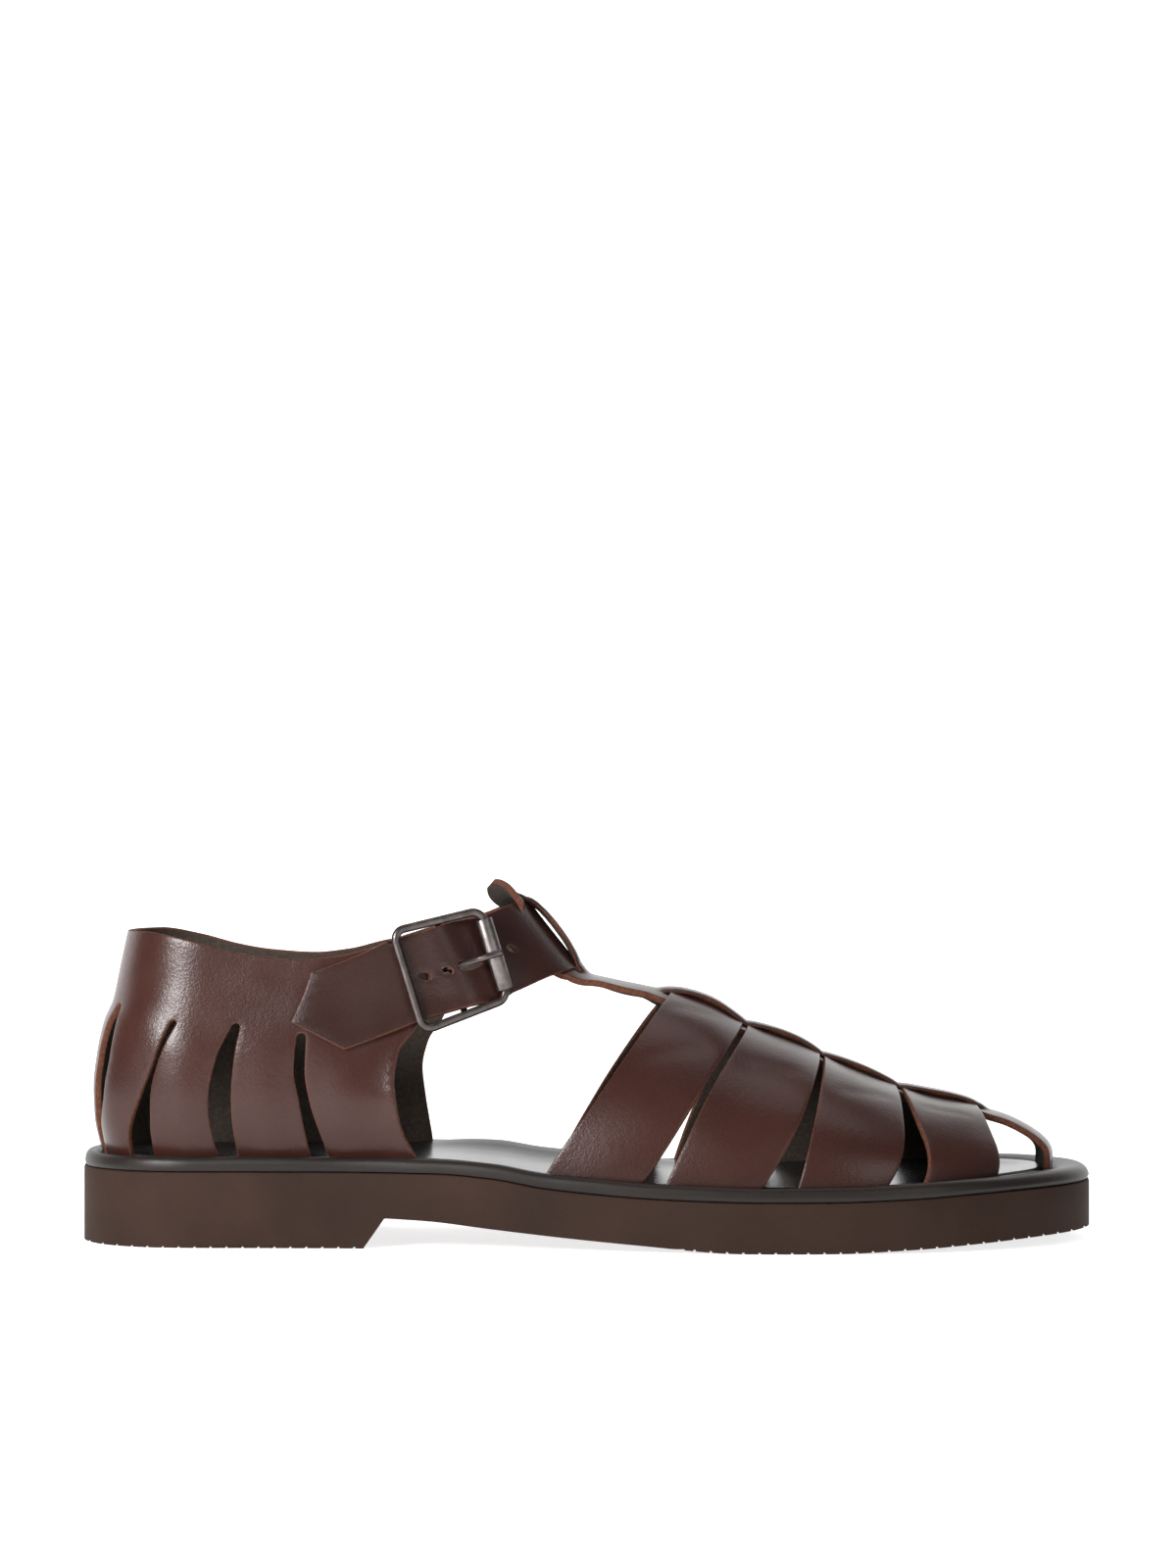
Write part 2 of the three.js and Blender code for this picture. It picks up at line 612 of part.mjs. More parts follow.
function slitCutter(rows, way, shift) {
  const rear = column(rows, "height", "rear");
  const front = column(rows, "height", "front");
  const top = rows[rows.length - 1].height * COLLAR_HEIGHT;
  const base = footHeight(FOOT_BACK) - LEATHER;
  const surface = (a, b) => {
    const z = mix(base, top, b);
    const height = z / COLLAR_HEIGHT;
    const centre = shift + (rear(height) + front(height)) / 2;
    const half = (front(height) - rear(height)) / 2;
    const radius = half * LENGTH;
    const over = clamp((z - (top - radius)) / radius, 0, 0.97);
    return quarterPoint(way * LENGTH * (centre + (2 * a - 1) * half * Math.sqrt(1 - over * over)), z);
  };
  return toSolid(sheet(surface, [0, 1], SLIT_STATIONS, -CUT_DEPTH, CUT_DEPTH));
}

// The medial slits, apart from the rearmost one, stand a little further forward.
const MEDIAL_SHIFT = 0.014;
const slits = slitTables.flatMap((rows, i) => {
  return [slitCutter(rows, -1, 0), slitCutter(rows, 1, i > 0 ? MEDIAL_SHIFT : 0)];
});
const quarter = slits.reduce(
  (wall, slit) => wall.subtract(slit),
  toSolid(sheet(quarterSurface, QUARTER_COLUMNS, QUARTER_ROWS)),
);

// Cross straps, from the instep to the toe: feet and crowns as shares of the length in side view,
// how far back the medial foot is, and the bow of each edge.
const strapRows = [
  { rear: 0.456, front: 0.548, rearTop: 0.583, frontTop: 0.653, back: 0, rearBow: 0, frontBow: 0.006 },
  { rear: 0.572, front: 0.662, rearTop: 0.658, frontTop: 0.725, back: 0, rearBow: 0, frontBow: 0.01 },
  { rear: 0.7, front: 0.783, rearTop: 0.736, frontTop: 0.804, back: 0.012, rearBow: 0.002, frontBow: 0.012 },
  { rear: 0.819, front: 0.894, rearTop: 0.811, frontTop: 0.886, back: 0.012, rearBow: 0.014, frontBow: 0.01 },
];
const STRAP_LIFT = 0.45 * LEATHER;
const CROWN_SHARE = 0.3;

function strapSurface({ rear, front, rearTop, frontTop, back, rearBow, frontBow }) {
  return (a, b) => {
    const way = b < 0.5 ? -1 : 1;
    const climb = 1 - Math.abs(b - 0.5) * 2;
    const power = fullness(mix(rear, front, a));
    const up = Math.pow(Math.sin((climb * Math.PI) / 2), 2 / power);
    const shift = way > 0 ? back * (up - 1) : 0;
    const foot = mix(rear, front, a) + shift;
    const bow = mix(rearBow, frontBow, a) * Math.sin(Math.PI * Math.pow(up, 0.8));
    return vampPoint(xAt(mix(foot, mix(rearTop, frontTop, a), up) + bow), way, climb);
  };
}
const crownLift = (b) => STRAP_LIFT * (1 - smooth(CROWN_SHARE * 0.4, CROWN_SHARE, Math.abs(b - 0.5)));
const STRAP_STATIONS = [0, 0.02, 0.07, 0.13, 0.2, 0.27, 0.34, 0.4, 0.45];
const STRAP_COLUMNS = 3;
const crossStraps = strapRows.map((row) => {
  const along = [...STRAP_STATIONS, 0.5, ...STRAP_STATIONS.map((b) => 1 - b).reverse()];
  const low = (a, b) => crownLift(b) - LEATHER / 2;
  const high = (a, b) => crownLift(b) + LEATHER / 2;
  return toSolid(sheet(strapSurface(row), STRAP_COLUMNS, along, low, high));
});

// Ankle strap: round the oval from the pointed tail on the lateral side to the medial quarter.
// Turn is in degrees, skew tilts the strap's cross-line, top and bottom are shares of the instep
// height, lift is in thicknesses of leather and wall is the share of the full thickness.
const bandRows = [
  { turn: -89.3, skew: 0, top: 0.624, bottom: 0.619, lift: 0.82, wall: 1 },
  { turn: -84, skew: 2, top: 0.76, bottom: 0.544, lift: 0.82, wall: 1 },
  { turn: -69.5, skew: 0.5, top: 0.8456, bottom: 0.6146, lift: 0.82, wall: 1 },
  { turn: -64, skew: 0, top: 0.862, bottom: 0.632, lift: 1.2, wall: 1 },
  { turn: -57, skew: -0.5, top: 0.882, bottom: 0.653, lift: 2.15, wall: 1 },
  { turn: -50, skew: 0, top: 0.894, bottom: 0.679, lift: 1.25, wall: 1 },
  { turn: -44, skew: 0, top: 0.9007, bottom: 0.7011, lift: 0.82, wall: 1 },
  { turn: -22, skew: -0.5, top: 0.938, bottom: 0.745, lift: 0.45, wall: 1 },
  { turn: 0, skew: 0, top: 0.946, bottom: 0.7552, lift: 0.45, wall: 1 },
  { turn: 22, skew: 0.5, top: 0.938, bottom: 0.745, lift: 0.45, wall: 1 },
  { turn: 44, skew: 0, top: 0.9007, bottom: 0.7011, lift: 0, wall: 1 },
  { turn: 60, skew: 0, top: 0.876, bottom: 0.655, lift: 0, wall: 1 },
  { turn: 66, skew: 0, top: 0.868, bottom: 0.632, lift: 0, wall: 0.5 },
  { turn: 74, skew: 0, top: 0.845, bottom: 0.6, lift: 0, wall: 0.5 },
];

// The edges of the tail are cut straight from corner to corner.
const TAIL_END = -69.5;
function cutEdge(value) {
  const curve = column(bandRows, "turn", value);
  return (turn) => {
    if (turn >= TAIL_END) return curve(turn);
    const i = Math.max(bandRows.findLastIndex((row) => row.turn <= turn), 0);
    const [here, next] = [bandRows[i], bandRows[i + 1]];
    return mix(here[value], next[value], (turn - here.turn) / (next.turn - here.turn));
  };
}
const band = {
  skew: cutEdge("skew"),
  top: cutEdge("top"),
  bottom: cutEdge("bottom"),
  lift: column(bandRows, "turn", "lift"),
  wall: column(bandRows, "turn", "wall"),
};
const TURN_LIMIT = 89.6;
const BAND_START = bandRows[0].turn;
const BAND_END = bandRows[bandRows.length - 1].turn;
const bandTurn = (b) => mix(BAND_START, BAND_END, b);
const BAND_TURNS = [
  -89.3, -86.5, -84, -79, -74, -69.5, -66, -63, -60, -57, -54, -51, -47.5, -44, -38, -31, -24, -18, -12, -6,
  0, 6, 12, 18, 24, 31, 38, 44, 50, 56, 60, 66, 74,
];

function bandSurface(a, b) {
  const turn = bandTurn(b);
  const z = mix(band.top(turn), band.bottom(turn), a) * INSTEP_HEIGHT;
  return bandPoint(clamp(turn + mix(-1, 1, a) * band.skew(turn), -TURN_LIMIT, TURN_LIMIT), z);
}
const bandLow = (a, b) => LEATHER * (band.lift(bandTurn(b)) - band.wall(bandTurn(b)) / 2);
const bandHigh = (a, b) => LEATHER * (band.lift(bandTurn(b)) + band.wall(bandTurn(b)) / 2);
const bandStations = BAND_TURNS.map((turn) => (turn - BAND_START) / (BAND_END - BAND_START));
const bandSheet = sheet(bandSurface, [0, 0.33, 0.67, 1], bandStations, bandLow, bandHigh);

// Centre bar of leather: it runs from the tab down the ridge to the toe, with a bridge over each
// strap and its two edges under it.
const BRIDGE_FLOOR = 0.75;
const BRIDGE_PEAK = 0.48;
const crossings = [
  { from: ovalFront(band.top(0) * INSTEP_HEIGHT), to: ovalFront(band.bottom(0) * INSTEP_HEIGHT), peak: 1 },
  ...strapRows.map(({ rearTop, frontTop }) => ({ from: xAt(rearTop), to: xAt(frontTop), peak: BRIDGE_PEAK })),
];
const EDGE_FLOOR = 0.3;
const EDGE_TUCK = 0.45;
const BRIDGE_RAMP = 5;
const TAB_ROUND = 10;
const TAB_FLAT = 0.4;
const TAB_TWIST = 0.35;
const ANKLE_END = 0.55;
const TOE_BOW_START = 0.88;
const TOE_BOW_FULL = 0.96;
const TAB_REACH = 0.05;

function crossingAt(x) {
  const arch = Math.max(...crossings.map(({ from, to, peak }) => {
    return peak * Math.pow(Math.sin(Math.PI * clamp((x - from) / (to - from), 0, 1)), 0.6);
  }));
  const near = Math.max(...crossings.map(({ from, to }) => {
    return 1 - smooth(0, BRIDGE_RAMP, Math.max(from - x, x - to));
  }));
  return { arch, near };
}

function toeDrop(y) {
  const points = footRuns[y < 0 ? -1 : 1];
  const i = points.findLastIndex((point) => Math.abs(point.y - RIDGE_SHIFT) > Math.abs(y));
  return FOOT_TIP - points[i].x;
}

function barFrame(b) {
  const point = ridge.getPointAt(b);
  const run = ridge.getTangentAt(b);
  return { point, out: vec(-run.z, 0, run.x) };
}

function barSurface(a, b) {
  const { point, out } = barFrame(b);
  const fromEnd = b * ridge.getLength();
  const fromRound = Math.max(1 - (fromEnd + TAB_FLAT) / (TAB_ROUND + TAB_FLAT), 0);
  const narrow = Math.sqrt(1 - fromRound * fromRound);
  const y = ((2 * a - 1) * BAR_WIDTH * narrow) / 2;
  const ankleShare = 1 - smooth(OVAL_FRONT, ANKLE_END, alongAt(point.x));
  const ovalShare = Math.pow(Math.abs(y) / ANKLE_HALF_WIDTH, OVAL_POWER);
  const ovalDrop = ovalReach(point.z) * (1 - Math.pow(1 - ovalShare, 1 / OVAL_POWER));
  const tab = 1 - smooth(0, TAB_REACH, alongAt(point.x) - ridgeRows[0].along);
  const toe = smooth(TOE_BOW_START, TOE_BOW_FULL, alongAt(point.x));
  const vampX = Math.max(point.x, xAt(VAMP_START));
  const vampBow = vampDrop(vampX, y) * out.z + toeDrop(y) * toe * out.x;
  const bow = mix(vampBow, ovalDrop * out.x * (1 - tab), ankleShare);
  const { arch, near } = crossingAt(point.x);
  const bridgeShare = BRIDGE_WIDTH / BAR_WIDTH;
  const inner = 1 - smooth(bridgeShare - 0.02, bridgeShare + 0.02, Math.abs(2 * a - 1));
  const bridge = BRIDGE_FLOOR * near + arch;
  const under = Math.min(arch / BRIDGE_PEAK, 1);
  const edge = EDGE_FLOOR * near * (1 - under) - EDGE_TUCK * under;
  const lift = LEATHER * mix(edge, bridge, inner);
  return point.clone().add(vec(0, RIDGE_SHIFT + y, 0)).addScaledVector(out, lift - bow - TAB_TWIST * tab * y);
}

const CROSSING_STATIONS = [0, 0.15, 0.5, 0.85, 1];
const barStations = [
  0, 0.01, 0.022, 0.036, 0.05,
  ...crossings.flatMap(({ from, to }) => CROSSING_STATIONS.map((share) => {
    return ridgeShareAt(mix(from, to, share));
  })),
  ...[0.485, 0.505, 0.53, 0.555, 0.9, 0.915, 0.93, 0.945].map((along) => ridgeShareAt(xAt(along))),
  0.94, 0.96, 0.98, 1,
].sort((one, other) => one - other);
const barColumns = [0, 0.125, 0.24, 0.26, 0.5, 0.74, 0.76, 0.875, 1];
const barOut = (a, b) => barFrame(b).out;
const barSheet = sheet(barSurface, barColumns, barStations, -LEATHER / 2, LEATHER / 2, barOut);

// Two slits let the ankle strap through the centre bar.
const SLIT_GAP = 0.6;
const SLIT_OVERRUN = 0.12;
function barSlit(way) {
  const { from, to } = crossings[0];
  const surface = (a, b) => {
    const x = mix(from, to, mix(SLIT_OVERRUN, 1 - SLIT_OVERRUN, b));
    const { point, out } = barFrame(ridgeShareAt(x));
    const y = (way * (BRIDGE_WIDTH + mix(-SLIT_GAP, SLIT_GAP, a))) / 2;
    return point.clone().add(vec(0, RIDGE_SHIFT + y, 0)).addScaledVector(out, -BRIDGE_WIDTH / 4);
  };
  const outAt = (a, b) => barFrame(ridgeShareAt(mix(from, to, b))).out;
  return toSolid(sheet(surface, 1, 4, -BRIDGE_WIDTH / 2, BRIDGE_WIDTH, outAt));
}
const centreStrip = toSolid(barSheet).subtract(barSlit(-1)).subtract(barSlit(1));

// Buckle: a flat frame laid over the strap, a centre bar set back under it, a roller and a prong.
const REAR_BAR_TURN = -69.5;
const CENTRE_BAR_TURN = -57;
const FRONT_BAR_TURN = -44;
const WIRE_WIDTH = 1.1 * BUCKLE_WIRE;
const SECTION_SIDES = 8;

function strapPoint(turn, lift) {
  const b = (turn - BAND_START) / (BAND_END - BAND_START);
  const step = 0.01;
  const along = bandSurface(0.5, b + step).sub(bandSurface(0.5, b - step));
  const up = bandSurface(0.4, b).sub(bandSurface(0.6, b)).normalize();
  const out = along.cross(up).normalize();
  return { point: bandSurface(0.5, b).addScaledVector(out, lift), up };
}
const strapTop = (turn) => LEATHER * (band.lift(turn) + 0.5) + FIT_GAP + BUCKLE_RIDE;
const rearBar = strapPoint(REAR_BAR_TURN, strapTop(REAR_BAR_TURN) + BUCKLE_WIRE / 2);
const rollerSpace = ROLLER_WALL + FIT_GAP;
const frontBar = strapPoint(FRONT_BAR_TURN, strapTop(FRONT_BAR_TURN) + BUCKLE_WIRE / 2 + rollerSpace);
const PRONG_HUG = BUCKLE_WIRE / 2 + FIT_GAP + PRONG_WIRE * 0.35;
const PRONG_HALF = PRONG_WIRE * 0.35;
const strapUnder = LEATHER * (band.lift(CENTRE_BAR_TURN) - 0.5);
const centreBar = strapPoint(CENTRE_BAR_TURN, strapUnder - PRONG_HUG - PRONG_HALF - FIT_GAP);

// The frame's own directions: u towards the toe, v up the bars, w away from the foot.
const u = frontBar.point.clone().sub(rearBar.point).normalize();
const upRough = rearBar.up.clone().add(frontBar.up);
const v = upRough.addScaledVector(u, -upRough.dot(u)).normalize();
const w = u.clone().cross(v);
const buckleCentre = rearBar.point.clone().add(frontBar.point).multiplyScalar(0.5);
const inBuckle = (alongU, alongV, alongW) => {
  const point = buckleCentre.clone().addScaledVector(u, alongU);
  return point.addScaledVector(v, alongV).addScaledVector(w, alongW);
};
const wire = ovalSection(WIRE_WIDTH, BUCKLE_WIRE, SECTION_SIDES);

const strapWidth = Math.max(...[REAR_BAR_TURN, CENTRE_BAR_TURN, FRONT_BAR_TURN].map((turn) => {
  const b = (turn - BAND_START) / (BAND_END - BAND_START);
  return bandSurface(0, b).distanceTo(bandSurface(1, b));
}));
const frameHalfU = BUCKLE_LENGTH / 2;
const frameHalfV = strapWidth / 2 + BUCKLE_CLEARANCE + WIRE_WIDTH / 2;
const CORNER = 3.2;
const CORNER_STEPS = 4;
const frameCorners = [[1, 1], [-1, 1], [-1, -1], [1, -1]];
const framePath = frameCorners.flatMap(([signU, signV], corner) => {
  return Array.from({ length: CORNER_STEPS + 1 }, (_, i) => {
    const angle = ((corner + i / CORNER_STEPS) * Math.PI) / 2;
    return inBuckle(
      signU * (frameHalfU - CORNER) + Math.cos(angle) * CORNER,
      signV * (frameHalfV - CORNER) + Math.sin(angle) * CORNER,
      0,
    );
  });
});
const centreOffset = centreBar.point.clone().sub(buckleCentre);
const centreU = centreOffset.dot(u);
const centreW = centreOffset.dot(w);
const postV = frameHalfV - 0.15;
const centrePath = [
  [-postV, 0], [-postV, centreW * 0.75], [-postV + 0.7, centreW], [0, centreW],
  [postV - 0.7, centreW], [postV, centreW * 0.75], [postV, 0],
].map(([alongV, alongW]) => inBuckle(centreU, alongV, alongW));
const centreSection = ovalSection(BUCKLE_WIRE * 0.9, BUCKLE_WIRE * 0.9, SECTION_SIDES);
addPiece("buckle_frame", toGeometry(joined([
  sweep(framePath, w, wire, true),
  sweep(centrePath, u, centreSection),
])), 0x55514e, 0.35, 0.9);

// Roller: a flattened sleeve round the front bar.
const rollerRing = (alongV, width, height) => {
  return ovalSection(width, height, 12).map(([a, b]) => inBuckle(frameHalfU + a, alongV, b));
};
const rollerHole = [WIRE_WIDTH + 2 * FIT_GAP, BUCKLE_WIRE + 2 * FIT_GAP];
const rollerSkin = [ROLLER_WIDTH, rollerHole[1] + 2 * ROLLER_WALL];
const tube = (width, height, reach) => {
  return ringSolid([rollerRing(-reach, width, height), rollerRing(reach, width, height)]);
};
const sleeve = toSolid(tube(rollerSkin[0], rollerSkin[1], ROLLER_LENGTH / 2));
addPiece("buckle_roller", toGeometry(
  sleeve.subtract(toSolid(tube(rollerHole[0], rollerHole[1], ROLLER_LENGTH / 2 + 1))),
), 0x6a6663, 0.3, 0.9);

// Prong: looped round the centre bar, through the strap's hole, its tip on the roller.
const LOOP_TURNS = [-100, -140, 180, 140, 100, 65];
const loop = LOOP_TURNS.map((degrees) => {
  const angle = THREE.MathUtils.degToRad(degrees);
  return [centreU + Math.cos(angle) * PRONG_HUG, centreW + Math.sin(angle) * PRONG_HUG];
});
const tipW = rollerSkin[1] / 2 + FIT_GAP + PRONG_WIRE * 0.35;
const prongReach = [
  [frameHalfU - ROLLER_WIDTH, tipW - 0.5],
  [frameHalfU - 1, tipW + 0.1],
  [frameHalfU + 1.6, tipW],
];
const prongPath = [...loop, ...prongReach].map(([alongU, alongW]) => inBuckle(alongU, 0, alongW));
const prongSection = (spare) => ovalSection(PRONG_WIRE * 0.7 + spare, PRONG_WIRE + spare, SECTION_SIDES);
addPiece("buckle_prong", toGeometry(toSolid(sweep(prongPath, v, prongSection(0)))), 0x6a6663, 0.3, 0.9);
const prongHole = toSolid(sweep(prongPath, v, prongSection(4 * FIT_GAP)));

const upper = [...crossStraps, toSolid(bandSheet), centreStrip].reduce((all, one) => all.add(one), quarter)
  .subtract(prongHole);
addPiece("upper", toGeometry(upper), 0x4e3a35, 0.5);

export default model;
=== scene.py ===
from math import cos, pi, radians, sin

import bpy
import numpy as np
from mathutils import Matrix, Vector, geometry, kdtree


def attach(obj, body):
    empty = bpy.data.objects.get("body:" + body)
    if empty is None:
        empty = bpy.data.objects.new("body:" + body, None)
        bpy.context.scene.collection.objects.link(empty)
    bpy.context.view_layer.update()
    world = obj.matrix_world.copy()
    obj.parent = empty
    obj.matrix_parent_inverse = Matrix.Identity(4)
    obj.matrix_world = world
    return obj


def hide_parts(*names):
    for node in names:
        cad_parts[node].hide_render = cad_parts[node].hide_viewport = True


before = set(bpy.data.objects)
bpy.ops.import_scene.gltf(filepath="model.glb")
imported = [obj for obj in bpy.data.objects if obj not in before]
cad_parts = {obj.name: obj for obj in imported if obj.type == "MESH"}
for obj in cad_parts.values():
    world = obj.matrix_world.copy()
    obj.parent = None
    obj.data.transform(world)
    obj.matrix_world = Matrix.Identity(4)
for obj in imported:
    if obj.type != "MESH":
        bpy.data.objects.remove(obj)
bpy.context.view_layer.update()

# Studio. The photograph looks level at the outer side of the shoe, from a little above the tab. The
# shoe stands on white paper with a white wall behind. A small softbox by the heel gives the shine
# on the quarter, a broad one hangs above and a fill stands in front of the toe. Lengths in metres.
CAMERA_DISTANCE = 1.3
CAMERA_HEIGHT = 0.1305
LENS = 103.3
SENSOR = 36.0
SIGHT = 50
WORLD_LIGHT = 0.14
REACH = 6.0
WALL_Y = 2.5
WALL_FOOT, WALL_TOP = -1.0, 4.0
FLOOR_GLOW = 0.78
WALL_GLOW = 0.95
PAPER_WHITE = (0.9, 0.9, 0.9)


def placed(name, data, place=(0, 0, 0), aim=None):
    """An object in the scene, turned towards a point if it has to look or shine there."""
    holder = bpy.data.objects.new(name, data)
    holder.location = place
    if aim is not None:
        holder.rotation_euler = (Vector(aim) - Vector(place)).to_track_quat("-Z", "Y").to_euler()
    bpy.context.scene.collection.objects.link(holder)
    return holder


def add_light(name, place, aim, size, power):
    lamp = bpy.data.lights.new(name, "AREA")
    lamp.shape = "RECTANGLE"
    lamp.size, lamp.size_y = size
    lamp.energy = power
    placed(name, lamp, place, aim)


def shader_of(material):
    return material.node_tree.nodes["Principled BSDF"]


def new_material(name, colour, roughness, **finish):
    """A material in one colour, with any other socket of its shader by name."""
    material = bpy.data.materials.new(name)
    material.use_nodes = True
    for key, value in {"Base_Color": (*colour, 1), "Roughness": roughness, **finish}.items():
        shader_of(material).inputs[key.replace("_", " ")].default_value = value
    return material


def add_paper(name, corners, glow):
    """A sheet of white paper, lit from behind by as much as glow."""
    mesh = bpy.data.meshes.new(name)
    mesh.from_pydata(corners, [], [(0, 1, 2, 3)])
    mesh.materials.append(new_material(
        name + "_white", PAPER_WHITE, 0.9, Emission_Color=(1, 1, 1, 1), Emission_Strength=glow,
    ))
    placed(name, mesh)


world = bpy.data.worlds.new("studio")
world.use_nodes = True
background = world.node_tree.nodes["Background"]
background.inputs["Color"].default_value = (1, 1, 1, 1)
background.inputs["Strength"].default_value = WORLD_LIGHT
bpy.context.scene.world = world
bpy.context.scene.view_settings.view_transform = "Standard"
lens = bpy.data.cameras.new("camera")
lens.lens = LENS
lens.sensor_width = SENSOR
lens.clip_end = SIGHT
eye = (0, -CAMERA_DISTANCE, CAMERA_HEIGHT)
bpy.context.scene.camera = placed("camera", lens, eye, aim=(0, 0, CAMERA_HEIGHT))
floor_corners = ((-REACH, -REACH), (REACH, -REACH), (REACH, REACH), (-REACH, REACH))
wall_corners = ((-REACH, WALL_FOOT), (-REACH, WALL_TOP), (REACH, WALL_TOP), (REACH, WALL_FOOT))
add_paper("floor_paper", [(x, y, 0) for x, y in floor_corners], FLOOR_GLOW)
add_paper("wall_paper", [(x, WALL_Y, z) for x, z in wall_corners], WALL_GLOW)
add_light("heel_softbox", place=(-0.42, -0.5, 0.3), aim=(-0.115, -0.03, 0.075), size=(0.2, 0.2), power=5.4)
add_light("top_softbox", place=(0.1, 0.1, 1.4), aim=(0, 0, 0), size=(1.0, 0.7), power=3)
add_light("front_fill", place=(0.7, -1.1, 0.6), aim=(0.05, 0, 0.05), size=(0.7, 0.7), power=3)

# Outsole. A dark brown rubber unit moulded in one: low heel with a slanted breast, raised arch,
# flat forefoot and a little toe spring. Its side wall stands almost upright. Lengths from here on
# are in millimetres.
MM = 0.001
LENGTH = 290.0
BALL_WIDTH = 106.0
HEEL_WIDTH = 69.0
HEEL_STACK = 21.3
FOREFOOT_STACK = 14.1
ARCH_RISE = 8.6
TOE_SPRING = 3.7
HEEL_END = 82.0
BREAST_SLANT = 6.0
FIT_GAP = 0.3
TREAD_DEPTH = 0.45
TREAD_START = 0.593
WALL_ROUND = 0.7
SOLE_STEPS = 260
RUBBER = (0.028, 0.0143, 0.01)
TINT_RANGE = (0.3, 0.7)


def between(t, low, high, slope_low, slope_high):
    """A cubic from low to high, as t runs from 0 to 1, with the slopes given at both ends."""
    share = 3 * t**2 - 2 * t**3
    bend = (t**3 - 2 * t**2 + t) * slope_low + (t**3 - t**2) * slope_high
    return (1 - share) * low + share * high + bend


def column(rows, key, value):
    """A smooth function through one named column of a table, without overshoot."""
    x = np.array([row[key] for row in rows], float)
    y = np.array([row[value] for row in rows], float)
    slope = np.diff(y) / np.diff(x)
    product = slope[:-1] * slope[1:]
    total = np.where(product > 0, slope[:-1] + slope[1:], 1)
    inside = np.where(product > 0, 2 * product / total, 0)
    tangent = np.concatenate([slope[:1], inside, slope[-1:]])

    def at(place):
        place = np.clip(np.asarray(place, float), x[0], x[-1])
        i = np.clip(np.searchsorted(x, place, side="right") - 1, 0, len(x) - 2)
        span = x[i + 1] - x[i]
        return between((place - x[i]) / span, y[i], y[i + 1], span * tangent[i], span * tangent[i + 1])

    return at


def columns(rows):
    """Such a function for each column of a table, over its first column."""
    key, *values = rows[0]
    return {value: column(rows, key, value) for value in values}


def mix(low, high, share):
    return low + (high - low) * share


def smooth(low, high, value):
    share = np.clip((np.asarray(value, float) - low) / (high - low), 0, 1)
    return share * share * (3 - 2 * share)


def table(names, *rows):
    return [dict(zip(names.split(), row)) for row in rows]


sole = columns(table(
    "along axis girth lift curl spring",
    (0.0, 0.0, 0.0, 1.0, 0.0, 0.0),
    (0.25, -0.008, 0.03, 1.0, 0.0, 0.0),
    (0.35, -0.024, 0.12, 0.97, 0.0, 0.0),
    (0.41, -0.033, 0.22, 0.79, 0.0, 0.0),
    (0.455, -0.036, 0.32, 0.48, 0.0, 0.0),
    (0.5, -0.035, 0.45, 0.29, 0.0, 0.0),
    (0.58, -0.026, 0.69, 0.08, 0.0, 0.0),
    (0.67, -0.01, 0.92, 0.0, 0.0, 0.0),
    (0.74, 0.0, 1.0, 0.0, 0.04, 0.04),
    (0.81, 0.006, 0.92, 0.0, 0.22, 0.27),
    (0.88, 0.02, 0.68, 0.0, 0.5, 0.58),
    (0.94, 0.032, 0.46, 0.0, 0.66, 0.82),
    (1.0, 0.038, 0.3, 0.0, 0.76, 1.0),
))
shank = columns(table(
    "along rise",
    (0.3, 1.0),
    (0.345, 0.92),
    (0.41, 0.68),
    (0.48, 0.44),
    (0.56, 0.21),
    (0.63, 0.02),
    (0.65, 0.0),
))
HEEL_ROUND = 0.12
TOE_ROUND = 0.17
ROUND_POWER = 2.3
heel_share = HEEL_END / LENGTH
slant_share = BREAST_SLANT / LENGTH


def x_at(along):
    return (along - 0.5) * LENGTH


def along_at(x):
    return x / LENGTH + 0.5


def seam_at(x):
    """Height of the seam between the rubber unit and the rolled edge."""
    stack = mix(FOREFOOT_STACK, HEEL_STACK, sole["lift"](along_at(x)))
    return stack + TOE_SPRING * sole["curl"](along_at(x))


def tread_at(x):
    """Height of the underside of the rubber unit."""
    along = along_at(x)
    breast = np.clip((along - heel_share) / slant_share, 0, 1)
    arch = ARCH_RISE * shank["rise"](np.maximum(along, heel_share + slant_share)) * breast
    return arch + TOE_SPRING * sole["spring"](along)


def round_end(distance, reach):
    share = np.clip(1 - distance / reach, 0, 1)
    return (1 - share**ROUND_POWER) ** (1 / ROUND_POWER)


def outline_at(side, along):
    half = mix(HEEL_WIDTH, BALL_WIDTH, sole["girth"](along)) / 2
    ends = round_end(along, HEEL_ROUND) * round_end(1 - along, TOE_ROUND)
    return np.stack([x_at(along), sole["axis"](along) * BALL_WIDTH + side * half * ends], -1)


def outline_ring(stations, inset):
    """The closed outline, heel tip first and lateral side out, pulled in by inset(x)."""
    lateral = outline_at(-1, stations)
    medial = outline_at(1, stations[-2:0:-1])
    ring = np.concatenate([lateral, medial])
    run = np.roll(ring, -1, 0) - np.roll(ring, 1, 0)
    run /= np.linalg.norm(run, axis=1, keepdims=True)
    depth = inset(ring[:, 0])[:, None] * np.ones((1, 2))
    return ring + depth * np.stack([-run[:, 1], run[:, 0]], -1)


def crowded(steps, *extra):
    """Stations from heel to toe, close together at both tips and wherever else they are asked for."""
    even = (1 - np.cos(pi * np.linspace(0, 1, steps + 1))) / 2
    return np.unique(np.concatenate([even, *extra]))


def tube_faces(rows, sides, closed=False):
    """Faces round a tube, whose points come in rows of equal count."""
    faces = []
    for i in range(rows if closed else rows - 1):
        j = (i + 1) % rows
        for k in range(sides):
            m = (k + 1) % sides
            faces.append((i * sides + k, i * sides + m, j * sides + m, j * sides + k))
    return faces


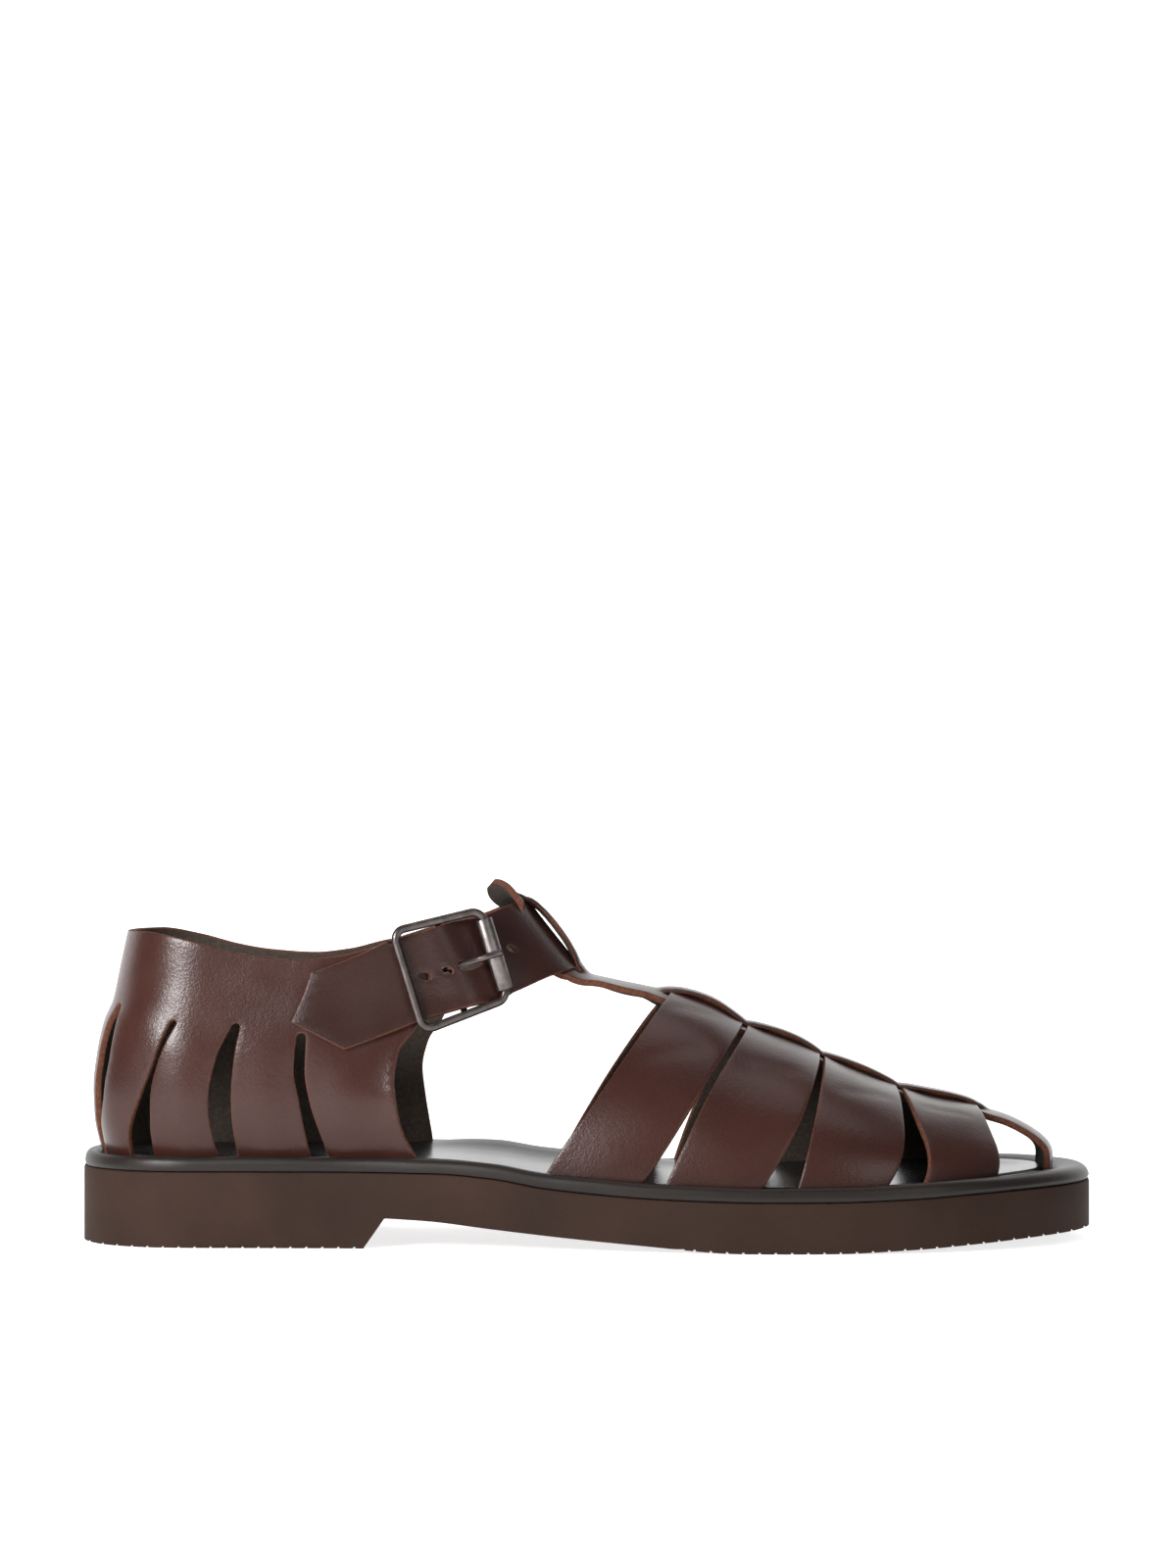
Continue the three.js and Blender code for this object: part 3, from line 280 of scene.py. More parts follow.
def ring_mesh(rings):
    """Rings of equal count, skinned in order, with both ends closed across."""
    count = len(rings[0])
    points = np.concatenate(rings)
    faces = tube_faces(len(rings), count)
    last = (len(rings) - 1) * count
    for start, turned in ((0, True), (last, False)):
        for i in range(count // 2):
            corners = [start + k for k in (i, i + 1, (count - i - 1) % count, (count - i) % count)]
            corners = list(dict.fromkeys(corners))
            faces.append(tuple(reversed(corners)) if turned else tuple(corners))
    return points, faces


def add_piece(name, points, faces, materials, indices=None, sharp=None):
    """A mesh from points in millimetres, smooth shaded, riding on the shoe's one body."""
    mesh = bpy.data.meshes.new(name)
    mesh.from_pydata((np.asarray(points) * MM).tolist(), [], [tuple(map(int, f)) for f in faces])
    for material in materials:
        mesh.materials.append(material)
    if indices is not None:
        mesh.polygons.foreach_set("material_index", np.asarray(indices, np.int32))
    mesh.polygons.foreach_set("use_smooth", np.ones(len(mesh.polygons), bool))
    if sharp is not None:
        mesh.set_sharp_from_angle(angle=radians(sharp))
    mesh.update()
    piece = placed(name, mesh)
    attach(piece, "root")
    return piece


def faced_out(points, faces):
    """The same faces, turned round where they point into the closed shape."""
    volume = 0.0
    for face in faces:
        a = points[face[0]]
        for one, other in zip(face[1:-1], face[2:]):
            volume += np.dot(a, np.cross(points[one], points[other]))
    return faces if volume > 0 else [tuple(reversed(face)) for face in faces]


def link(material, out_node, out_socket, in_node, in_socket):
    material.node_tree.links.new(out_node.outputs[out_socket], in_node.inputs[in_socket])


def add_node(material, kind, **values):
    node = material.node_tree.nodes.new(kind)
    for key, value in values.items():
        socket = key.replace("_", " ")
        if socket in node.inputs:
            node.inputs[socket].default_value = value
        else:
            setattr(node, key, value)
    return node


def surface_noise(material, scale, detail=3.0, stretch=(1, 1, 1)):
    """Noise laid on the object's own coordinates, in wrinkles or spots per metre."""
    place = add_node(material, "ShaderNodeTexCoord")
    mapping = add_node(material, "ShaderNodeMapping", Scale=stretch)
    noise = add_node(material, "ShaderNodeTexNoise", Scale=scale, Detail=detail)
    link(material, place, "Object", mapping, "Vector")
    link(material, mapping, "Vector", noise, "Vector")
    return noise


def add_relief(material, parts):
    """Bump made of several noises, each with its own height in millimetres."""
    before = None
    for noise, socket, height in parts:
        bump = add_node(material, "ShaderNodeBump", Strength=1.0, Distance=height * MM)
        link(material, noise, socket, bump, "Height")
        if before is not None:
            link(material, before, "Normal", bump, "Normal")
        before = bump
    link(material, before, "Normal", shader_of(material), "Normal")


def tint(material, noise, dark, light):
    """Two tones of the surface, mixed by a noise."""
    ramp = add_node(material, "ShaderNodeValToRGB")
    for stop, place, colour in zip(ramp.color_ramp.elements, TINT_RANGE, (dark, light)):
        stop.position = place
        stop.color = (*colour, 1)
    link(material, noise, "Fac", ramp, "Fac")
    return ramp


def paint(material, noise, dark, light):
    link(material, tint(material, noise, dark, light), "Color", shader_of(material), "Base Color")


def shade(colour, factor):
    return tuple(channel * factor for channel in colour)


def rubber_material():
    material = new_material("moulded_rubber", RUBBER, 0.75, Specular_IOR_Level=0.15)
    paint(material, surface_noise(material, 40), shade(RUBBER, 0.85), shade(RUBBER, 1.2))
    add_relief(material, [
        (surface_noise(material, 2600, 2.0), "Fac", 0.05),
        (surface_noise(material, 300, 3.0), "Fac", 0.05),
    ])
    return material


BREAST_MARGIN = 0.004
HEEL_RECESS_END = 0.003
FOREFOOT_RECESS = (0.58, 0.6)
breast_stations = np.linspace(heel_share - BREAST_MARGIN, heel_share + slant_share + BREAST_MARGIN, 26)
rubber_stations = crowded(SOLE_STEPS, breast_stations)


def outsole_ring(inset, height):
    ring = outline_ring(rubber_stations, lambda x: np.full_like(x, inset))
    return np.column_stack([ring, height(ring[:, 0])])


def recessed(x):
    """The body stops short of the floor where the tread ribs stand under it."""
    along = along_at(x)
    heel = 1 - smooth(heel_share - HEEL_RECESS_END, heel_share, along)
    ribbed = np.maximum(heel, smooth(*FOREFOOT_RECESS, along))
    return tread_at(x) + TREAD_DEPTH * ribbed


wall_bevel = WALL_ROUND * 0.3
outsole_rings = [
    outsole_ring(WALL_ROUND, recessed),
    outsole_ring(0.0, recessed),
    outsole_ring(0.0, lambda x: mix(recessed(x), seam_at(x), 0.5)),
    outsole_ring(0.0, lambda x: seam_at(x) - WALL_ROUND),
    outsole_ring(wall_bevel, lambda x: seam_at(x) - wall_bevel),
    outsole_ring(WALL_ROUND, seam_at),
]
moulded_rubber = rubber_material()
points, faces = ring_mesh(outsole_rings)
outsole = add_piece("outsole_body", points, faced_out(points, faces), [moulded_rubber], sharp=40)
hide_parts("outsole")

# Tread. Low ribs run across the heel and the forefoot and show as small notches along the floor.
# They are moulded with the rubber unit and cut off square at its outline.
RIB_PITCH = 4.5
RIB_SHARE = 0.84
RIB_SINK = 0.3
RIB_START = 0.3
RIB_DEPTH = 5.0
TREAD_MARGIN = 0.0004
TREAD_STEPS = 200
TREAD_CREASE = 30


def tread_slab(start, end, inset=0.0):
    """A thin slab under the sole, between two shares of the length, narrowed by inset on each side."""
    stations = crowded(TREAD_STEPS)
    stations = np.concatenate([[start], stations[(stations > start) & (stations < end)], [end]])
    lateral = outline_at(-1, stations) + [0, inset]
    medial = outline_at(1, stations) - [0, inset]
    low = tread_at(x_at(stations))
    high = low + TREAD_DEPTH + RIB_SINK
    around = [(lateral, low), (medial, low), (medial, high), (lateral, high)]
    points = np.stack([np.column_stack([side, height]) for side, height in around], 1)
    count = len(stations)
    faces = tube_faces(count, 4)
    faces.append((3, 2, 1, 0))
    faces.append(tuple((count - 1) * 4 + k for k in range(4)))
    points = points.reshape(-1, 3)
    return points, faced_out(points, faces)


def rib_tree(material):
    """Geometry Nodes: cross ribs in a row, cut to the slab that the modifier sits on."""
    tree = bpy.data.node_groups.new("tread_ribs", "GeometryNodeTree")
    interface = tree.interface
    interface.new_socket("Geometry", in_out="INPUT", socket_type="NodeSocketGeometry")
    for name, kind in (("Pitch", "Float"), ("Rib", "Vector"), ("Start", "Vector"), ("Count", "Int")):
        interface.new_socket(name, in_out="INPUT", socket_type="NodeSocket" + kind)
    interface.new_socket("Geometry", in_out="OUTPUT", socket_type="NodeSocketGeometry")
    kinds = {
        "given": "NodeGroupInput",
        "step": "ShaderNodeCombineXYZ",
        "line": "GeometryNodeMeshLine",
        "cube": "GeometryNodeMeshCube",
        "row": "GeometryNodeInstanceOnPoints",
        "ribs": "GeometryNodeRealizeInstances",
        "cut": "GeometryNodeMeshBoolean",
        "whole": "GeometryNodeRealizeInstances",
        "rubber": "GeometryNodeSetMaterial",
        "result": "NodeGroupOutput",
    }
    nodes = {name: tree.nodes.new(kind) for name, kind in kinds.items()}
    nodes["cut"].operation = "INTERSECT"
    nodes["rubber"].inputs["Material"].default_value = material
    for out_node, out_socket, in_node, in_socket in (
        ("given", "Pitch", "step", "X"),
        ("given", "Count", "line", "Count"),
        ("given", "Start", "line", "Start Location"),
        ("step", "Vector", "line", "Offset"),
        ("given", "Rib", "cube", "Size"),
        ("line", "Mesh", "row", "Points"),
        ("cube", "Mesh", "row", "Instance"),
        ("row", "Instances", "ribs", "Geometry"),
        ("given", "Geometry", "cut", "Mesh 2"),
        ("ribs", "Geometry", "cut", "Mesh 2"),
        ("cut", "Mesh", "whole", "Geometry"),
        ("whole", "Geometry", "rubber", "Geometry"),
        ("rubber", "Geometry", "result", "Geometry"),
    ):
        tree.links.new(nodes[out_node].outputs[out_socket], nodes[in_node].inputs[in_socket])
    return tree


def applied(piece, tree, **values):
    """Runs a tree on a piece and keeps its result as the piece's plain mesh."""
    modifier = piece.modifiers.new(tree.name, "NODES")
    modifier.node_group = tree
    for item in tree.interface.items_tree:
        if item.in_out == "INPUT" and item.name in values:
            modifier[item.identifier] = values[item.name]
    depsgraph = bpy.context.evaluated_depsgraph_get()
    mesh = bpy.data.meshes.new_from_object(piece.evaluated_get(depsgraph))
    piece.modifiers.clear()
    piece.data = mesh


# The plain middle of each tread stops the gaps between its ribs.
rib_depth_share = RIB_DEPTH / LENGTH
for name, start, end in (("heel", 0, heel_share), ("forefoot", TREAD_START, 1)):
    points, faces = tread_slab(start + rib_depth_share, end - rib_depth_share, RIB_DEPTH)
    field = add_piece(name + "_tread_field", points, faces, [moulded_rubber], sharp=TREAD_CREASE)

ribs = rib_tree(moulded_rubber)
for name, start, end in (
    ("heel_tread", TREAD_MARGIN, heel_share),
    ("forefoot_tread", TREAD_START, 1 - TREAD_MARGIN),
):
    points, faces = tread_slab(start, end)
    tread = add_piece(name, points, faces, [moulded_rubber])
    first = x_at(start) + RIB_PITCH * (RIB_SHARE / 2 - RIB_START)
    applied(
        tread, ribs,
        Pitch=RIB_PITCH * MM,
        Rib=(RIB_PITCH * RIB_SHARE * MM, 2 * BALL_WIDTH * MM, HEEL_STACK * MM),
        Start=(first * MM, 0.0, 0.0),
        Count=int((end - start) * LENGTH / RIB_PITCH) + 1,
    )
    tread.data.set_sharp_from_angle(angle=radians(TREAD_CREASE))

# Rolled edge. A board is wrapped in thin black-brown leather whose edge is rolled up round the
# foot. It is glued to the rubber unit, and a dark, slightly uneven seam shows between them.
EDGE_ROLL = 3.9
MIDSOLE_PLATE = 1.0
SIDE_INSET = 5.4
TOE_INSET = 10.6
FOOT_PLAY = 0.45
ROLL_MARGIN = 0.4
ROLL_WAVE = 0.12
ROLL_RIPPLE = 0.07
TOE_INSET_REACH = (0.76, 0.97)
EDGE_BLACK = (0.012, 0.0085, 0.007)


def foot_inset(x):
    """How far inside the outline the outer face of the leather drops beside the deck."""
    return mix(SIDE_INSET, TOE_INSET, smooth(*TOE_INSET_REACH, along_at(x)))


def satin_material(name, colour, roughness, fine, wrinkle, stretch=(1, 1, 1)):
    """Thin coated leather: faint wrinkles and a soft shine."""
    material = new_material(
        name, colour, roughness, Specular_IOR_Level=0.24, Coat_Weight=0.05, Coat_Roughness=0.35,
    )
    paint(material, surface_noise(material, 30), shade(colour, 0.8), shade(colour, 1.3))
    add_relief(material, [
        (surface_noise(material, 1500, 3.0), "Fac", fine),
        (surface_noise(material, 180, 4.0, stretch), "Fac", wrinkle),
    ])
    return material


roll = columns(table(
    "turn out up",
    (0.0, 0.02, 0.0),
    (1.0, -0.03, 0.25),
    (2.0, 0.0, 0.55),
    (3.0, 0.1, 0.83),
    (4.0, 0.25, 0.97),
    (5.0, 0.4, 1.0),
    (6.0, 0.65, 0.95),
    (7.0, 0.88, 0.8),
    (8.0, 1.0, 0.6),
))
ROLL_TURNS = 8
ROLL_STEPS = 28
roll_stations = crowded(SOLE_STEPS)


def roll_wave(x, y):
    """The hand-rolled edge is never quite even."""
    return ROLL_WAVE * np.sin(x / 13 + y / 9) + ROLL_RIPPLE * np.sin(x / 5.3 - y / 7 + 1.3)


def roll_ring(turn):
    out, up = roll["out"](turn), roll["up"](turn)
    ring = outline_ring(roll_stations, lambda x: mix(ROLL_MARGIN, foot_inset(x) - FOOT_PLAY, out))
    x, y = ring.T
    wave = roll_wave(x, y) * smooth(0.0, 0.5, up)
    return np.column_stack([ring, seam_at(x) + FIT_GAP + up * EDGE_ROLL + wave])


def roll_floor():
    ring = outline_ring(roll_stations, lambda x: foot_inset(x) - FOOT_PLAY)
    return np.column_stack([ring, seam_at(ring[:, 0]) + FIT_GAP + MIDSOLE_PLATE])


edge_leather = satin_material("rolled_edge_leather", EDGE_BLACK, 0.42, 0.03, 0.12, (0.35, 1, 1))
roll_rings = [roll_ring(turn) for turn in np.linspace(0, ROLL_TURNS, ROLL_STEPS + 1)]
points, faces = ring_mesh(roll_rings + [roll_floor()])
rolled_edge = add_piece("rolled_edge", points, faced_out(points, faces), [edge_leather], sharp=50)
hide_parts("midsole")

# Deck. The charcoal leather that the foot stands on, cupped in the middle and raised a little at
# the arch, is glued to the board inside the feet of the straps.
LEATHER = 2.0
DECK_THICKNESS = 2.2
DECK_CUP = 1.2
ARCH_RIM = 2.2
ARCH_RISING, ARCH_FALLING = (0.3, 0.42), (0.5, 0.64)
DECK_GREY = (0.017, 0.016, 0.017)


def arch_share(x):
    return smooth(*ARCH_RISING, along_at(x)) * (1 - smooth(*ARCH_FALLING, along_at(x)))


def deck_ring(inside, level, cup, rim):
    depth = inside * HEEL_WIDTH / 2
    ring = outline_ring(roll_stations, lambda x: foot_inset(x) + LEATHER + FOOT_PLAY + depth)
    x, y = ring.T
    arch = ARCH_RIM * smooth(0, HEEL_WIDTH * 0.4, y) * arch_share(x) * rim
    base = seam_at(x) + 2 * FIT_GAP + MIDSOLE_PLATE
    return np.column_stack([ring, base + DECK_THICKNESS * level - DECK_CUP * cup + arch])


deck_profile = columns(table(
    "turn inside level cup rim",
    (0.0, 0.0, 0.0, 0.0, 0.0),
    (1.0, 0.0, 0.7, 0.0, 1.0),
    (2.0, 0.012, 0.93, 0.0, 1.0),
    (3.0, 0.035, 1.0, 0.0, 1.0),
    (4.0, 0.13, 1.0, 0.25, 0.87),
    (5.0, 0.23, 1.0, 0.6, 0.7),
    (6.0, 0.34, 1.0, 0.87, 0.55),
    (7.0, 0.46, 1.0, 1.0, 0.4),
))
DECK_TURNS = 7
DECK_STEPS = 28
deck_leather = satin_material("deck_leather", DECK_GREY, 0.25, 0.01, 0.06)
points, faces = ring_mesh([
    deck_ring(**{key: value(turn) for key, value in deck_profile.items()})
    for turn in np.linspace(0, DECK_TURNS, DECK_STEPS + 1)
])
deck = add_piece("deck", points, faced_out(points, faces), [deck_leather], sharp=50)
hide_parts("insole")

# Heel quarter. One piece of smooth brown leather is cut into legs by slits, bent round the heel
# and tucked into the sole. Its cut edges are raw and reddish, its inside is grey-brown suede.
COLLAR_HEIGHT = 88.5
INSTEP_HEIGHT = 101.7
ANKLE_HALF_WIDTH = 29.5
SHOWN_LEATHER = 1.9
EDGE_SOFTNESS = 0.4
GRID = 1.5
GRAIN_BROWN = (0.032, 0.0096, 0.007)
GRAIN_LIGHT = (0.047, 0.0155, 0.011)
EDGE_RED = (0.105, 0.038, 0.021)
SUEDE_GREY = (0.05, 0.038, 0.03)
WAX_ROUGHNESS = (0.25, 0.37)
# How far past the middle the painted shade on the outer side fades out, in mm.
SHADE_REACH = 25
RAW_FIBRES = 0.12
RIDGE_SHIFT = 0.038 * BALL_WIDTH


def grain_material(name, outer_shade, dullness):
    """Smooth aniline leather: cloudy brown, fine pores and a waxy sheen, with painted shade on the outer
    side.
    """
    material = new_material(name, GRAIN_BROWN, 0.4, Specular_IOR_Level=0.33)
    shader = shader_of(material)
    brown = tint(material, surface_noise(material, 28, 5.0), GRAIN_BROWN, GRAIN_LIGHT)
    place = add_node(material, "ShaderNodeTexCoord")
    sides = add_node(material, "ShaderNodeSeparateXYZ")
    # Painted shade: the base colour is darkened over the outer, lateral side of the shoe and fades back
    # over the first 25 mm of the medial side.
    outer = add_node(material, "ShaderNodeMapRange", From_Max=SHADE_REACH * MM, To_Min=outer_shade)
    side_shaded_brown = add_node(material, "ShaderNodeVectorMath", operation="SCALE")
    link(material, place, "Object", sides, "Vector")
    link(material, sides, "Y", outer, "Value")
    link(material, brown, "Color", side_shaded_brown, "Vector")
    link(material, outer, "Result", side_shaded_brown, "Scale")
    link(material, side_shaded_brown, "Vector", shader, "Base Color")
    low, high = WAX_ROUGHNESS
    wax = add_node(material, "ShaderNodeMapRange", To_Min=low + dullness, To_Max=high + dullness)
    link(material, surface_noise(material, 90, 3.0), "Fac", wax, "Value")
    link(material, wax, "Result", shader, "Roughness")
    pores = add_node(material, "ShaderNodeTexVoronoi", Scale=1500.0)
    link(material, place, "Object", pores, "Vector")
    add_relief(material, [
        (pores, "Distance", 0.03),
        (surface_noise(material, 700, 3.0), "Fac", 0.05),
        (surface_noise(material, 110, 3.0), "Fac", 0.05),
    ])
    return material


def raw_material(name, dark, light, scale):
    """Raw leather fibres on a cut edge or on the flesh side."""
    material = new_material(name, dark, 0.85, Specular_IOR_Level=0.25)
    fibres = surface_noise(material, scale, 5.0)
    paint(material, fibres, dark, light)
    add_relief(material, [(fibres, "Fac", RAW_FIBRES)])
    return material


leather_skins = [
    grain_material("grain_leather", 0.92, 0.0),
    raw_material("suede_side", shade(SUEDE_GREY, 0.75), shade(SUEDE_GREY, 1.25), 900),
    raw_material("raw_edge", shade(EDGE_RED, 0.6), shade(EDGE_RED, 1.3), 1300),
]

FOOT_STEPS = 480
foot_stations = (1 - np.cos(pi * np.linspace(0, 1, FOOT_STEPS + 1))) / 2
foot_ring = outline_ring(foot_stations, lambda x: foot_inset(x) + LEATHER / 2)


def foot_line(side):
    """The line where the leather enters the sole, from the heel to the toe on one side."""
    order = np.arange(FOOT_STEPS + 1)
    line = foot_ring[order if side < 0 else -order]
    run = np.concatenate([[0], np.cumsum(np.linalg.norm(np.diff(line, axis=0), axis=1))])
    return {"x": np.maximum.accumulate(line[:, 0]), "y": line[:, 1], "run": run}


foot_lines = {-1: foot_line(-1), 1: foot_line(1)}
FOOT_TIP = foot_lines[1]["x"][-1]
FOOT_BACK = foot_lines[1]["x"][0]


def foot_lookup(way, key, value, wanted):
    """A value on the foot line, where way (-1 or +1, one for each point) picks the side."""
    sides = [np.interp(value, foot_lines[side][key], foot_lines[side][wanted]) for side in (-1, 1)]
    return np.where(np.asarray(way) < 0, sides[0], sides[1])


def foot_height(x):
    return seam_at(x) + 2 * FIT_GAP + MIDSOLE_PLATE


ankle_form = columns(table(
    "rise lean spread",
    (0.0, 0.0, 1.0),
    (0.05, -0.0035, 1.03),
    (0.15, -0.0076, 1.08),
    (0.29, -0.009, 1.1),
    (0.44, -0.0062, 1.09),
    (0.58, 0.0, 1.06),
    (0.68, 0.009, 1.03),
    (0.84, 0.0166, 0.99),
    (1.0, 0.0241, 0.96),
))
ROLL_TOP = HEEL_STACK + FIT_GAP + EDGE_ROLL
OVAL_CENTRE = 0.207
OVAL_POWER = 2.2
OVAL_FRONT = 0.4824
OVAL_FRONT_HEIGHT = 0.771
OVAL_FRONT_LEAN = 0.787
LEAN_END = 0.297
OVAL_LOW, OVAL_HIGH = 0.24, 0.72
OVAL_NEAR, OVAL_FULL = 0.33, 0.41
SHIFT_NEAR, SHIFT_FULL = 0.2, 0.44


def rise_at(z):
    return (z - ROLL_TOP) / (COLLAR_HEIGHT - ROLL_TOP)


def oval_front(z):
    return x_at(OVAL_FRONT) - (z - OVAL_FRONT_HEIGHT * INSTEP_HEIGHT) * OVAL_FRONT_LEAN


def oval_reach(z):
    return oval_front(z) - x_at(OVAL_CENTRE)


def ankle_wall(way, x, z, oval_y):
    """Sideways place of the ankle leather: it follows the sole low down and an oval higher up."""
    low = foot_lookup(way, "x", x, "y") * ankle_form["spread"](rise_at(z))
    high = smooth(OVAL_LOW, OVAL_HIGH, rise_at(z)) * smooth(OVAL_CENTRE, LEAN_END, along_at(x))
    front = smooth(OVAL_NEAR, OVAL_FULL, along_at(x))
    shift = RIDGE_SHIFT * smooth(SHIFT_NEAR, SHIFT_FULL, along_at(x))
    return mix(low, shift + oval_y, np.maximum(high, front))


def creased(u, v, creases):
    """Soft troughs in the flat piece, each from (u0, v0) to (u1, v1) and fading at both ends."""
    lift = np.zeros(len(u))
    for u0, v0, u1, v1, width, depth in creases:
        run = np.array([u1 - u0, v1 - v0])
        share = ((u - u0) * run[0] + (v - v0) * run[1]) / np.dot(run, run)
        off = np.hypot(u - u0 - share * run[0], v - v0 - share * run[1])
        ends = smooth(0, CREASE_FADE, share) * (1 - smooth(1 - CREASE_FADE, 1, share))
        lift -= depth * ends * np.exp(-(off / width) ** 2)
    return lift


CREASE_FADE = 0.3
LEG_PITCH = 22.0
LEG_BULGE = 0.45
LEG_LOW, LEG_HIGH = 42, 66
HOLLOW = 0.22
RIPPLE = 0.1
MEDIAL_SHIFT = 0.014
# Creases, in mm: from run, height to run, height, then how wide and how deep.
quarter_creases = [
    (-64, 56, -26, 67, 3.6, 0.25),
    (-40, 76, -8, 70, 4.0, 0.25),
    (-88, 70, -60, 77, 3.0, 0.25),
    (8, 73, 46, 66, 3.8, 0.25),
    (60, 62, 92, 50, 3.6, 0.25),
]


def quarter_wave(run, z):
    """Slow hollows, swellings and creases of leather that has been bent by hand."""
    hollow = HOLLOW * np.sin(run / 17 + z / 23) * np.sin(z / 15 + 0.6)
    hollow += RIPPLE * np.sin(run / 7 - z / 11)
    middle = LEG_PITCH + MEDIAL_SHIFT * LENGTH * smooth(5, 30, run)
    leg = LEG_BULGE * np.cos(2 * pi * (np.abs(run) - middle) / LEG_PITCH)
    return hollow + leg * (1 - smooth(LEG_LOW, LEG_HIGH, z)) + creased(run, z, quarter_creases)


def quarter_surface(run, z):
    """Where the quarter lies: run goes along the foot line from the heel, medial side up, z is height."""
    way = np.where(run < 0, -1, 1)
    foot_x = foot_lookup(way, "run", np.abs(run), "x")
    foot_y = foot_lookup(way, "run", np.abs(run), "y")
    back = np.clip((x_at(LEAN_END) - foot_x) / (x_at(LEAN_END) - FOOT_BACK), 0, 1)
    x = foot_x + ankle_form["lean"](rise_at(z)) * LENGTH * back
    share = np.clip((x - x_at(OVAL_CENTRE)) / oval_reach(z), 0, 1)
    oval_y = way * ANKLE_HALF_WIDTH * (1 - share**OVAL_POWER) ** (1 / OVAL_POWER)
    behind = foot_x < x_at(OVAL_CENTRE)
    y = np.where(behind, foot_y * ankle_form["spread"](rise_at(z)), ankle_wall(way, x, z, oval_y))
    return np.stack([x, y, z], -1)


SURFACE_STEP = 0.05
NO_LENGTH = 1e-9
SAME_POINT = 1e-5
ROW_HEIGHT = 0.87
EDGE_CLEAR = 0.72
OUTLINE_STEP, HOLE_STEP = 0.6, 0.4
EDGE_TURNS = [30, 60, 90]
SOFTEST = 0.8


def units(vectors):
    return vectors / np.maximum(np.linalg.norm(vectors, axis=1, keepdims=True), NO_LENGTH)


def surface_normals(surface, u, v, side):
    """Unit normals of a surface by small steps of its two coordinates."""
    along = surface(u + SURFACE_STEP, v) - surface(u - SURFACE_STEP, v)
    up = surface(u, v + SURFACE_STEP) - surface(u, v - SURFACE_STEP)
    return units(side * np.cross(along, up))


def inside_grid(loops, spacing):
    """Staggered points for the middle of a piece, clear of its cut edges."""
    edge = np.concatenate(loops)
    tree = kdtree.KDTree(len(edge))
    for i, (u, v) in enumerate(edge):
        tree.insert((u, v, 0), i)
    tree.balance()
    low, high = edge.min(0), edge.max(0)
    points = []
    for row, v in enumerate(np.arange(low[1], high[1], spacing * ROW_HEIGHT)):
        for u in np.arange(low[0] + (row % 2) * spacing / 2, high[0], spacing):
            if tree.find((u, v, 0))[2] > spacing * EDGE_CLEAR:
                points.append((u, v))
    return points


def spaced(loop, spacing):
    """A closed outline with its points at even distances, corners kept where they are sharp."""
    result = []
    for a, b in zip(loop, np.roll(loop, -1, 0)):
        steps = max(int(np.ceil(np.linalg.norm(b - a) / spacing)), 1)
        result += [a + (b - a) * k / steps for k in range(steps)]
    return np.array(result)


def turned(loop, left):
    """The outline run round to the left, or to the right for a hole."""
    area = np.sum(loop[:, 0] * np.roll(loop[:, 1], -1) - np.roll(loop[:, 0], -1) * loop[:, 1])
    return loop if (area > 0) == left else loop[::-1]


def within(loop, points):
    """Which points lie inside a closed flat outline."""
    inside = np.zeros(len(points), bool)
    for a, b in zip(loop, np.roll(loop, -1, 0)):
        spans = (a[1] > points[:, 1]) != (b[1] > points[:, 1])
        level = a[0] + (b[0] - a[0]) * (points[:, 1] - a[1]) / ((b[1] - a[1]) or 1)
        inside ^= spans & (points[:, 0] < level)
    return inside


def cut_flat(outline, holes, spacing):
    """Triangles of a flat outline without its holes, and the row of points along each cut edge."""
    loops = [turned(spaced(np.asarray(outline, float), spacing * OUTLINE_STEP), True)]
    loops += [turned(spaced(np.asarray(hole, float), spacing * HOLE_STEP), False) for hole in holes]
    corners = [Vector(p) for loop in loops for p in loop]
    edges = []
    for loop in loops:
        start = len(edges)
        edges += [(start + i, start + (i + 1) % len(loop)) for i in range(len(loop))]
    corners += [Vector(p) for p in inside_grid(loops, spacing)]
    flat, _, faces, origins, _, _ = geometry.delaunay_2d_cdt(corners, edges, [], 2, SAME_POINT)
    flat = np.array([tuple(p) for p in flat])
    new_place = {old: i for i, olds in enumerate(origins) for old in olds}
    middles = np.array([flat[list(face)].mean(0) for face in faces])
    cut = np.any([within(loop, middles) for loop in loops[1:]] or [np.zeros(len(faces), bool)], axis=0)
    faces = [face for face, gone in zip(faces, cut) if not gone]
    rings = []
    start = 0
    for loop in loops:
        rings.append(np.array([new_place[start + i] for i in range(len(loop))]))
        start += len(loop)
    return flat, faces, rings


def without_loose(points, faces):
    """The same mesh without the points that no face uses, such as those inside a hole."""
    used = np.unique(np.concatenate([np.array(face) for face in faces]))
    place = np.zeros(len(points), int)
    place[used] = np.arange(len(used))
    return points[used], [tuple(place[list(face)]) for face in faces]


